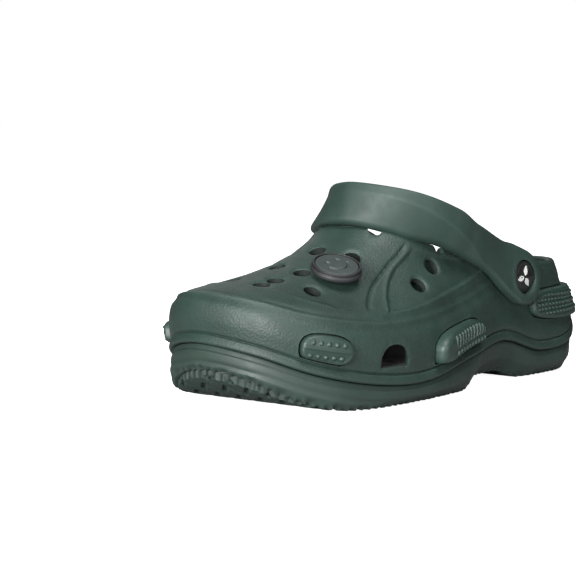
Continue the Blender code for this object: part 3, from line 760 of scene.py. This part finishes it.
def finish_mesh(name, points, faces, sharp=38):
    """Mesh with welded doubles and faces turned outwards."""
    obj = mesh_object(name, points, faces, sharp)
    bm = bmesh.new()
    bm.from_mesh(obj.data)
    bmesh.ops.remove_doubles(bm, verts=bm.verts, dist=0.02 * MM)
    bmesh.ops.recalc_face_normals(bm, faces=bm.faces)
    bm.to_mesh(obj.data)
    bm.free()
    shade(obj, sharp)
    return obj


def stud_relief(x, y, edge):
    """Two sloping facets that meet in a crease, with a row of five studs on each."""
    crease = -0.1 - 0.02 * x
    facet = -0.10 * np.abs(y - crease) + 0.34 * smooth(y, crease - 0.25, crease + 0.25)
    studs = 0 * x
    for row, shift in ((STUD_ROW, 0.0), (-STUD_ROW, -0.5)):
        for n in range(-2, 3):
            gap = np.hypot(x - shift - STUD_PITCH * n, y - row)
            studs = np.maximum(studs, 0.75 * (1 - smooth(gap, 0.35, 1.15)))
            studs = np.where((gap > 1.0) & (gap < 1.7), studs - 0.18 * bell(gap - 1.35, 0.25), studs)
    return facet * smooth(edge, 0.5, 2.5) + studs


def rib_relief(side):
    """Slanted ribs along the upper half and two rows of short dashes below, off the smooth front end."""
    def relief(x, y, edge):
        x = side * x
        inside = smooth(edge, 1.2, 2.4)
        slant = x - 0.35 * y
        begin = smooth(x, -13.5, -12.0)
        upper_row = smooth(y, 0.4, 1.0) * (1 - smooth(y, 6.0, 6.8))
        pattern = 1.3 * (smooth(wave(slant, RIB_PITCH), 0.2, 0.8) - 0.6) * upper_row
        for row, shift in DASH_ROWS:
            band = 1 - smooth(np.abs(y - row), 0.6, 1.2)
            pattern = pattern + 0.7 * smooth(wave(slant + shift, RIB_PITCH), 0.35, 0.8) * band
        return pattern * inside * begin
    return relief


def nub_relief(x, y, edge):
    """Rows of fine nubs between three shallow ridges along the heel."""
    inside = smooth(edge, 1.2, 2.2)
    along, across = HEEL_NUB_PITCH
    nubs = wave(x, along) * wave(y, across)
    ridges = wave(y, 2 * across)
    return (0.75 * smooth(nubs, 0.12, 0.75) + 0.35 * ridges - 0.2) * inside


# ---------------------------------------------------------------- sole

def run_round(u):
    """Distance along the outline, in millimetres."""
    fine = np.linspace(0, 1, 4001)
    step = np.linalg.norm(np.diff(loop(OUTLINE, fine), axis=0), axis=1)
    return np.interp(u, fine, np.concatenate([[0], np.cumsum(step)]))


def outsole_object():
    """Tread unit: lower edge with claws and fine teeth, belly, cove under the welt and a lugged tread."""
    u = np.arange(SOLE_COLUMNS) / SOLE_COLUMNS
    low = loop(WELT_LOW, u)
    y = loop(OUTLINE, u)[:, 1]
    ground = tread(y)
    tall = low - ground
    waist = smooth(y, -5, 25) * (1 - smooth(y, 45, 75))
    toe = 1 - smooth(y, -95, -40)
    tuck = waist + 0.7 * smooth(y, 90, 125)
    none = 0 * u
    controls = [
        (6.0 - 2.0 * toe + 3.0 * tuck, ground + none),
        (4.6 - 2.0 * toe + 3.6 * tuck, ground + 0.3 - 0.2 * toe),
        (3.4 - 1.7 * toe + 4.2 * tuck, ground + 1.6 - 1.0 * toe),
        (2.3 - 1.2 * toe + 4.4 * tuck, ground + 0.16 * tall + 1.2 - 1.2 * toe),
        (1.1 - 0.3 * toe + 4.0 * tuck, ground + 0.32 * tall + 0.6),
        (0.6 + 3.0 * tuck, ground + 0.48 * tall), (0.9 + 1.6 * tuck, low - 0.28 * tall),
        (1.5 + 0.4 * waist, low - 2.6), (1.9 + none, low - 1.2), (2.7 + none, low - 0.45),
        (5.6 + none, low - 0.8)]
    profile = open_curve(np.array(controls), 46)
    run = run_round(u)
    insets, heights = profile[:, 0].copy(), profile[:, 1].copy()
    share = np.clip((heights - ground) / np.maximum(tall, 1), 0, 1)
    claw = np.abs(np.mod(run / CLAW_PITCH, 1) - 0.5) * 2
    claw_cut = smooth(claw, 0.55, 0.8) * (1 - smooth(share, 0.14, 0.30)) * smooth(heights - ground, 0.0, 0.8)
    insets += 0.9 * claw_cut * (0.35 + 0.65 * toe)
    ripple = 0.5 + 0.5 * np.sin(run * TURN / TOOTH_PITCH)
    teeth = smooth(ripple, 0.2, 0.8)
    insets += 0.8 * teeth * (1 - smooth(heights - ground, 1.0, 3.2))
    heights += 0.7 * teeth * (1 - smooth(heights - ground, 0.0, 2.0)) * (0.3 + 0.7 * toe)
    insets += 0.35 * bell(heights - (low - 7.5), 1.1) * toe
    insets -= 0.30 * bell(heights - (low - 9.6), 1.2) * toe
    rings = [wall(u, i, h) for i, h in zip(insets, heights)]
    rings.append(on_level(u, 11.4, floor_level, -0.9))

    def lugs(points):
        x, y = points[:, 0], points[:, 1]
        zigzag = np.abs(np.mod(x / LUG_ZIGZAG, 1) - 0.5) * LUG_ZIGZAG
        across = np.abs(np.mod((y + zigzag) / LUG_PITCH, 1) - 0.5) * 2
        points[:, 2] = tread(y) + LUG_DEPTH * smooth(across, 0.62, 0.8)
        return points

    return closed_rings("sole_unit", rings, lugs, as_is, (84, 4))


def insole_object():
    """Footbed with a rolled edge and rows of small nubs."""
    u = np.arange(INSOLE_COLUMNS) / INSOLE_COLUMNS
    rings = [on_level(u, 13.3, seat_level, 0.3), on_level(u, 11.4, seat_level, 2.3),
             on_level(u, 11.2, seat_level, 3.0), on_level(u, 11.5, seat_level, 3.6),
             on_level(u, 12.2, seat_level, 3.95)]

    def nubs(points):
        x, y = points[:, 0], points[:, 1]
        pattern = np.sin(x * TURN / NUB_PITCH) * np.sin(y * TURN / NUB_PITCH)
        points[:, 2] = seat_level(y) + INSOLE_THICKNESS + NUB_HEIGHT * smooth(pattern, 0.0, 0.8)
        return points

    return closed_rings("footbed", rings, as_is, nubs, (4, 104))


# ---------------------------------------------------------------- strap and rivets

def strap_half_width(s):
    band = np.interp(s, [0, 8, 20, 32, 50, 98], [EAR_RADIUS, 12.8, 11.2, 10.3, 10.0, 9.7])
    ear = np.sqrt(np.clip(EAR_RADIUS**2 - s**2, 0, None))
    return np.where(s < 0, ear, band)


def strap_offset(s):
    return np.interp(s, [0, 10, 32, 50, 98], [0, 0.4, 1.4, 1.4, 0.6])


def strap_edges(v, low_radii, high_radii):
    """Lower and upper edge of the outer face as (x, distance), for v from the ear's tip to the front."""
    straight = 1 - STRAP_BEND_SHARE
    s = -EAR_RADIUS + (STRAP_BEND + EAR_RADIUS) * np.minimum(v / straight, 1)
    phi = math.pi / 2 * np.clip((v - straight) / STRAP_BEND_SHARE, 0, 1)
    low_x = np.interp(s, [-14, 22, 33, 41, 50], [42.5, 42.5, 41.9, 40.8, low_radii[0]])
    high_x = np.interp(s, [-14, 22, 50], [42.5, 42.5, high_radii[0]])
    lines = []
    for x, radii in ((low_x, low_radii), (high_x, high_radii)):
        r = np.interp(phi, np.radians(STRAP_ANGLES), radii)
        lines.append(np.stack([np.where(phi > 0, r * np.cos(phi), x),
                               np.where(phi > 0, STRAP_BEND + r * np.sin(phi), s)], -1))
    return lines


def strap_line(count):
    """Both edge lines from the outer ear to the inner one, smoothed along their length."""
    fine = np.linspace(0, 1, 901)
    sides = [strap_edges(fine, *STRAP_RADII[side]) for side in ("lateral", "medial")]
    lines = [np.concatenate([a, b[-2::-1] * [-1, 1]]) for a, b in zip(*sides)]
    width = bell(np.arange(-40, 41), STRAP_SOFTENING)
    width /= width.sum()
    soft = []
    for line in lines:
        padded = np.concatenate([2 * line[:1] - line[40:0:-1], line, 2 * line[-1:] - line[-2:-42:-1]])
        soft.append(np.stack([np.convolve(padded[:, c], width, "valid") for c in (0, 1)], -1))
    end = 0.5 * (1 - np.cos(np.linspace(0, math.pi, count)))
    share = (0.3 * end + 0.7 * np.linspace(0, 1, count)) * (len(soft[0]) - 1)
    grid = np.arange(len(soft[0]))
    return [np.stack([np.interp(share, grid, line[:, c]) for c in (0, 1)], -1) for line in soft]


def strap_object():
    """Band with a broad rolled lower edge and a crease where the flat side plate turns into the front."""
    lower, higher = strap_line(STRAP_COLUMNS)
    middle = (lower + higher) / 2
    along = np.gradient(middle, axis=0)
    along /= np.linalg.norm(along, axis=1, keepdims=True)
    out = np.stack([along[:, 1], -along[:, 0]], -1)
    s = middle[:, 1]
    half = np.maximum(strap_half_width(s), 0.02)
    level_mid = strap_offset(s)
    crease = np.interp(s, [20, 28, 36, 47, 61.7, 75.7, 89, 98], [-11, -8.3, -5.5, -0.9, 2.1, 4.3, 5.6, 5.8])
    outer = np.sin(np.linspace(-math.pi / 2, math.pi / 2, STRAP_FACE_POINTS))
    outer = 0.6 * outer + 0.4 * np.linspace(-1, 1, STRAP_FACE_POINTS)
    inner = outer[::-1][::2]
    sides = np.concatenate([outer, inner])
    turning = smooth(s, 46, 62)
    trim = np.where(middle[:, 0] > 0, 1.2 - 2.0 * turning, 2.4 - 1.6 * turning)
    trim *= smooth(s, 12, 24) * (1 - smooth(s, 78, 95))
    at_front = smooth(s, 62, 82)
    deep = at_front - 1.4 * smooth(s, 10, 28) * (1 - at_front)
    face = np.concatenate([np.zeros(STRAP_FACE_POINTS), np.ones(len(inner))])
    span = np.where(sides > 0, (half - trim)[:, None], (half + deep)[:, None])
    level = level_mid[:, None] + sides * span
    s_grid = s[:, None] + 0 * level
    straight_edge = span * (1 - np.abs(sides))
    round_edge = EAR_RADIUS - np.hypot(s_grid, sides * half[:, None])
    edge = np.maximum(np.where(s_grid < 0, round_edge, straight_edge), 0)
    ear = 1 - smooth(s_grid, 5, 30)
    roll = np.where(sides < 0, 2.6 - 1.0 * ear, 1.3 + 0.3 * ear)
    depth_out = shoulder(edge, roll)
    depth_in = STRAP_THICKNESS - shoulder(edge, 1.2)
    gap = np.hypot(s_grid, level)
    raised = 0.35 * bell(gap - CAP_RADIUS - 1.5, 1.0)
    depth = np.where(face == 0, depth_out - raised, depth_in)
    low_level = (level_mid - half - deep)[:, None]
    weight = np.clip((level - low_level) / np.maximum(crease[:, None] - low_level, 0.4), 0, 1)
    flat = lower[:, None] * (1 - weight[..., None]) + higher[:, None] * weight[..., None]
    flat = flat - out[:, None] * depth[..., None]
    forward = np.array([0, -math.cos(STRAP_TILT), math.sin(STRAP_TILT)])
    up = np.array([0, math.sin(STRAP_TILT), math.cos(STRAP_TILT)])
    points = PIVOT + forward * flat[..., 1:] + up * level[..., None]
    fade = 1 - smooth(s_grid, 12, 46)
    lean = (points[..., 2] - PIVOT[2]) * EAR_LEAN * fade * (1 - depth / STRAP_THICKNESS)
    points[..., 0] = flat[..., 0] - np.sign(flat[..., 0]) * lean
    rows, columns = points.shape[:2]
    faces = ring_faces(rows, columns)
    faces.append(list(range(columns))[::-1])
    faces.append(list(range((rows - 1) * columns, rows * columns)))
    strap = finish_mesh("strap_band", points.reshape(-1, 3), faces, 40)
    floor = CAP_X - CAP_THICKNESS - CAP_RADIUS * EAR_LEAN - GAP
    rim = CAP_RADIUS + GAP
    profile = [(0, 50), (rim, 50), (rim, floor), (HOLE_RADIUS, floor), (HOLE_RADIUS, 33), (0, 33)]
    bores = [turned(profile, turn_to((side, 0, 0), PIVOT), 72) for side in (1, -1)]
    cut(strap, mesh_object("tool", *merged(bores)))
    shade(strap, 32)
    return strap


def leaning(points):
    """Points of a cap or its mark, leant with the strap's ear."""
    out = []
    for x, y, z in points:
        lean = (z - PIVOT[2]) * EAR_LEAN if abs(x) > CAP_X - CAP_THICKNESS - 0.01 else 0
        out.append((x - math.copysign(lean, x), y, z))
    return out


def leaf(matrix, angle, height):
    """Slim raised leaf with a pointed tip, standing on a cap's face."""
    count = 14
    t = np.linspace(0, 1, count)
    width = 1.35 * np.sin(math.pi * t**0.8)
    length = 0.8 + 5.2 * t
    c, s = math.cos(angle), math.sin(angle)
    left = [(length[i], width[i]) for i in range(count)]
    right = [(length[i], -width[i]) for i in range(count - 2, 0, -1)]
    outline = left + right
    points = []
    for z in (height - 0.12, height + 0.14):
        points.extend(matrix @ Vector((x * c - y * s, x * s + y * c, z)) for x, y in outline)
    n = len(outline)
    faces = [list(range(n, 2 * n))[::-1], list(range(n))]
    faces += [[i, i + n, (i + 1) % n + n, (i + 1) % n] for i in range(n)]
    return [tuple(p) for p in points], faces


def rivet_objects(side, word, black, white):
    """Cap with a dished face, a rim and a plain leaf mark, and the flanged post inside."""
    matrix = turn_to((side, 0, 0), PIVOT)
    back = CAP_X - CAP_THICKNESS
    dish = CAP_X - 0.25
    rounding = [(2.2, 0.25), (1.9, 0.2), (1.55, 0.02), (1.2, 0), (0.8, 0.02), (0.35, 0.22), (0.08, 0.6),
                (0, 1.0)]
    profile = [(0, dish)] + [(CAP_RADIUS - inset, CAP_X - drop) for inset, drop in rounding]
    profile += [(CAP_RADIUS, back), (2.4, back), (2.4, 29.4), (2.2, 29.2), (0, 29.2)]
    cap = turned(profile, matrix, 72)
    marks = [leaf(matrix, math.radians(a), dish) for a in (70, 190, 310)]
    points, faces = merged([cap] + marks)
    obj = finish_mesh("rivet_cap_disc_" + word, leaning(points), faces, 30)
    obj.data.materials.append(black)
    obj.data.materials.append(white)
    for polygon in obj.data.polygons:
        polygon.material_index = int(polygon.index >= len(cap[1]))
    tip = back - 3.7 * EAR_LEAN - 2 * GAP
    profile = [(0, 28.8), (2.7, 28.8), (2.7, tip - 0.3), (2.9, tip), (3.5, tip), (3.7, tip - 0.3),
               (3.7, 29.1), (4.1, 28.75), (6.0, 28.7), (6.4, 28.4), (6.5, 27.9), (6.3, 27.45),
               (5.8, 27.2), (3.0, 27.2), (2.6, 27.6), (0, 27.6)]
    post = finish_mesh("rivet_post_body_" + word, *turned(profile, matrix, 60), 30)
    post.data.materials.append(black)
    return obj, post


# ---------------------------------------------------------------- charm

def charm_objects():
    """Stepped round base with a stem, and an inlaid face with two dimples and a curved groove."""
    matrix = turn_to(CHARM_AXIS, find_on_upper(*CHARM_AT)[0])
    low = CHARM_LIFT
    high = CHARM_LIFT + CHARM_HEIGHT
    profile = [(0, high - 1.5), (10.4, high - 1.5), (10.4, high - 0.15), (10.5, high), (11.0, high),
               (11.25, high - 0.15), (11.35, high - 0.5), (11.3, high - 1.3), (11.45, high - 1.6),
               (11.8, high - 1.75), (12.0, high - 2.1), (12.0, low + 0.5), (11.8, low + 0.15), (11.4, low),
               (3.2, low), (3.2, -6.0), (3.4, -6.3), (4.8, -6.6), (5.0, -6.9), (4.6, -7.6),
               (3.9, -8.1), (0, -8.2)]
    base = finish_mesh("charm_disc", *turned(profile, matrix, 120), 30)
    radii = np.concatenate([np.linspace(0, 9.5, 46), [9.75, 9.95, 10.08, 10.1]])
    angles = round_angles(200)
    r, a = np.meshgrid(radii[1:], angles, indexing="ij")
    x, y = r * np.cos(a), r * np.sin(a)
    z = high - 0.15 - 0.5 * smooth(r, 9.4, 10.1)**2 + 0.1 * (1 - smooth(r, 2, 9.4))
    c, s = math.cos(CHARM_TURN), math.sin(CHARM_TURN)
    fx, fy = x * c + y * s, -x * s + y * c
    for side in (-1, 1):
        spot = np.hypot((fx - 3.1 * side) / 1.25, (fy - 3.0) / 1.6)
        z -= 0.8 * (1 - smooth(spot, 0.75, 1.05))
    arc_angle = np.clip(np.arctan2(fx, -(fy - 1.2)), -1.2, 1.2)
    arc = np.hypot(fx - 6.0 * np.sin(arc_angle), fy - 1.2 + 6.0 * np.cos(arc_angle))
    z -= 0.8 * (1 - smooth(arc, 0.45, 0.95))
    top = np.stack([x, y, z], -1)
    skirt = np.stack([x[-1], y[-1], 0 * x[-1] + high - 1.2], -1)
    points = [(0, 0, float(high + 0.1))] + top.reshape(-1, 3).tolist() + skirt.tolist()
    count = len(angles)
    faces = [[0, 1 + i, 1 + (i + 1) % count] for i in range(count)] + ring_faces(len(radii), count, 1)
    moved = [tuple(matrix @ Vector(p)) for p in points]
    face = finish_mesh("charm_inlay", moved, faces, 40)
    return base, face


# ---------------------------------------------------------------- materials

class Nodes:
    """Small helper that adds shader nodes and links them."""

    def __init__(self, name):
        self.material = bpy.data.materials.new(name)
        self.material.use_nodes = True
        self.tree = self.material.node_tree
        self.shader = self.tree.nodes["Principled BSDF"]

    def add(self, kind, inputs=None, **settings):
        node = self.tree.nodes.new(kind)
        for key, value in settings.items():
            setattr(node, key, value)
        for key, value in (inputs or {}).items():
            if isinstance(value, bpy.types.NodeSocket):
                self.tree.links.new(value, node.inputs[key])
            else:
                node.inputs[key].default_value = value
        return node

    def ramp(self, value, stops):
        node = self.add("ShaderNodeValToRGB", {0: value})
        elements = node.color_ramp.elements
        for i, (place, grey) in enumerate(stops):
            element = elements[i] if i < 2 else elements.new(place)
            element.position = place
            element.color = (grey, grey, grey, 1)
        return node.outputs["Color"]

    def noise(self, scale, detail=3.0, stretch=None):
        source = self.add("ShaderNodeTexCoord").outputs["Object"]
        if stretch:
            source = self.add("ShaderNodeMapping", {"Vector": source, "Scale": stretch}).outputs["Vector"]
        node = self.add("ShaderNodeTexNoise", {"Vector": source, "Scale": scale, "Detail": detail})
        return node.outputs["Fac"]

    def join(self, socket, value):
        self.tree.links.new(value, self.shader.inputs[socket])

    def bump(self, height, strength, distance_m, below=None):
        inputs = {"Height": height, "Strength": strength, "Distance": distance_m}
        if below:
            inputs["Normal"] = below
        return self.add("ShaderNodeBump", inputs).outputs["Normal"]

    def mix(self, factor, a, b):
        node = self.add("ShaderNodeMix", {"Factor": factor}, data_type="RGBA")
        for key, value in ((6, a), (7, b)):
            if isinstance(value, bpy.types.NodeSocket):
                self.tree.links.new(value, node.inputs[key])
            else:
                node.inputs[key].default_value = (*value, 1)
        return node.outputs[2]


def moulded(name, streak=None):
    """Moulded foam or rubber: pebble grain, faint mottling, lighter convex edges (partly wear, partly
    painted highlight), painted shade in hollows and uneven gloss.
    """
    colour, rough, grain, depth, edge_wear_and_highlight = LOOKS[name]
    n = Nodes(name)

    def shade_of(share, lift=0.0):
        return tuple(min(1, share * c + lift) for c in colour)

    base = n.mix(n.ramp(n.noise(55, 4), [(0.3, 0), (0.7, 1)]), shade_of(0.80), shade_of(1.16))
    base = n.mix(n.ramp(n.noise(1500, 2), [(0.35, 0.25), (0.75, 0)]), base, shade_of(0.7))
    edge = n.add("ShaderNodeNewGeometry").outputs["Pointiness"]
    # convex edges lightened: partly wear, partly painted highlight
    base = n.mix(n.ramp(edge, [(0.50, 0), (0.56, edge_wear_and_highlight)]), base, shade_of(2.0, 0.02))
    # painted shade: hollows and creases darkened
    base = n.mix(n.ramp(edge, [(0.44, 0.6), (0.495, 0)]), base, shade_of(0.45))
    n.join("Base Color", base)
    source = n.add("ShaderNodeTexCoord").outputs["Object"]
    pebble = n.add("ShaderNodeTexVoronoi", {"Vector": source, "Scale": 1 / (grain * MM)},
                   feature="SMOOTH_F1").outputs["Distance"]
    fine = n.noise(1 / (0.35 * grain * MM), 2)
    gloss = n.add("ShaderNodeMapRange", {"Value": n.noise(140, 4), "From Min": 0.3, "From Max": 0.7,
                                         "To Min": rough - 0.05, "To Max": rough + 0.07})
    n.join("Roughness", gloss.outputs["Result"])
    normal = n.bump(pebble, 0.55, depth * MM)
    normal = n.bump(fine, 0.35, 0.5 * depth * MM, normal)
    if streak:
        normal = n.bump(n.noise(220, 3, streak), 0.25, 0.06 * MM, normal)
    n.join("Normal", normal)
    n.shader.inputs["Specular IOR Level"].default_value = 0.5
    return n.material


# ---------------------------------------------------------------- assembly

def dress(piece, body, slot, node, *materials):
    """Give a piece its materials and its body, and hide the CAD node it stands for; slot is not used."""
    for material in materials:
        piece.data.materials.append(material)
    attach(piece, body)
    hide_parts(node)


def build_body():
    axes = hole_axes()
    shell = closed_rings("shell", body_rings(body_columns(), axes), as_is, as_is, (4, 24))
    cut(shell, shell_cutters(axes))
    for name in PADS:
        cut(shell, pocket_tool(name))
    shade(shell, 32)
    dress(shell, "clog", "body_foam", "clog_body", moulded("body_foam_green"), moulded("body_foam_painted_shade"))
    # painted shade on the walls inside the vents
    paint_vent_shade(shell, axes)
    dress(outsole_object(), "clog", "outsole_rubber", "outsole", moulded("outsole_rubber_green"))
    bed = insole_object()
    dress(bed, "clog", "insole_foam", "insole", moulded("insole_foam_black"))


def build_bumpers():
    green = moulded("bumper_rubber_green")
    patterns = {"bumper_front_lateral": (130, 80, stud_relief),
                "bumper_front_medial": (130, 80, stud_relief),
                "bumper_side_lateral": (220, 90, rib_relief(1)),
                "bumper_side_medial": (220, 90, rib_relief(-1)),
                "bumper_heel": (560, 46, nub_relief)}
    for name, (along, across, relief) in patterns.items():
        pad = pad_object(name, along, across, relief)
        pad.name = name + "_pad"
        dress(pad, "clog", "bumper_rubber", name, green)


def build_strap():
    strap = strap_object()
    strap.data.materials.clear()
    dress(strap, "strap", "strap_foam", "heel_strap", moulded("strap_foam_green", (0.35, 1, 6)))
    black = moulded("rivet_plastic_black")
    white = moulded("rivet_mark_white")
    for side, word in ((1, "lateral"), (-1, "medial")):
        cap, post = rivet_objects(side, word, black, white)
        dress(cap, "strap", "rivet_plastic", "rivet_cap_" + word)
        dress(post, "strap", "rivet_plastic", "rivet_post_" + word)


def build_charm():
    base, face = charm_objects()
    dress(base, "charm", "charm_black", "charm_base", moulded("charm_rubber_black"))
    dress(face, "charm", "charm_grey", "charm_face", moulded("charm_rubber_grey"))


def build_floor():
    mesh = bpy.data.meshes.new("floor")
    corners = [(-1, -1), (1, -1), (1, 1), (-1, 1)]
    mesh.from_pydata([(x * FLOOR_SIZE, y * FLOOR_SIZE, -FLOOR_DROP) for x, y in corners], [], [(0, 1, 2, 3)])
    floor = linked("floor", mesh)
    n = Nodes("floor_paper")
    paper = n.mix(n.noise(3, 2), (0.93, 0.93, 0.93), (0.96, 0.96, 0.96))
    seen = n.add("ShaderNodeLightPath").outputs["Is Camera Ray"]
    n.join("Base Color", n.mix(seen, (0.34, 0.34, 0.34), paper))
    glow = n.add("ShaderNodeMath", {0: seen, 1: FLOOR_GLOW}, operation="MULTIPLY")
    n.join("Emission Strength", glow.outputs[0])
    n.shader.inputs["Emission Color"].default_value = (1, 1, 1, 1)
    n.shader.inputs["Roughness"].default_value = 0.9
    n.shader.inputs["Specular IOR Level"].default_value = 0.0
    mesh.materials.append(n.material)


def aimed(name, data, place, aim):
    """Light or camera at a place, looking at another."""
    obj = linked(name, data)
    obj.location = place
    obj.rotation_euler = (aim - place).to_track_quat("-Z", "Y").to_euler()
    return obj


def area_light(name, azimuth, elevation, reach, size, power):
    """Softbox round the shoe; azimuth 0 looks along +Y and 90 along -X, as the camera's does."""
    a, e = math.radians(azimuth), math.radians(elevation)
    aim = Vector((0, 0, 0.04))
    place = aim + Vector((math.sin(a) * math.cos(e), -math.cos(a) * math.cos(e), math.sin(e))) * reach
    data = bpy.data.lights.new(name, "AREA")
    data.shape = "RECTANGLE"
    data.size, data.size_y = size
    data.energy = power
    aimed(name, data, place, aim)


def build_studio():
    """White backdrop for the camera, a faint even light for everything else, and the softboxes."""
    world = bpy.data.worlds.new("studio")
    world.use_nodes = True
    tree = world.node_tree
    seen = tree.nodes["Background"]
    glow = tree.nodes.new("ShaderNodeBackground")
    for background, strength in ((seen, 1.0), (glow, WORLD_LIGHT)):
        background.inputs["Color"].default_value = (1, 1, 1, 1)
        background.inputs["Strength"].default_value = strength
    path = tree.nodes.new("ShaderNodeLightPath")
    choose = tree.nodes.new("ShaderNodeMixShader")
    tree.links.new(path.outputs["Is Camera Ray"], choose.inputs[0])
    tree.links.new(glow.outputs[0], choose.inputs[1])
    tree.links.new(seen.outputs[0], choose.inputs[2])
    tree.links.new(choose.outputs[0], tree.nodes["World Output"].inputs["Surface"])
    bpy.context.scene.world = world
    bpy.context.scene.view_settings.view_transform = "Standard"
    for name, settings in SOFTBOXES.items():
        area_light(name, *settings)


def build_camera():
    data = bpy.data.cameras.new("camera")
    data.lens = CAMERA_LENS
    data.sensor_width = 36
    data.clip_start, data.clip_end = 0.05, 20
    bpy.context.scene.camera = aimed("camera", data, Vector(CAMERA_AT), Vector(CAMERA_AIM))


build_camera()
build_studio()
build_floor()
build_body()
build_bumpers()
build_strap()
build_charm()
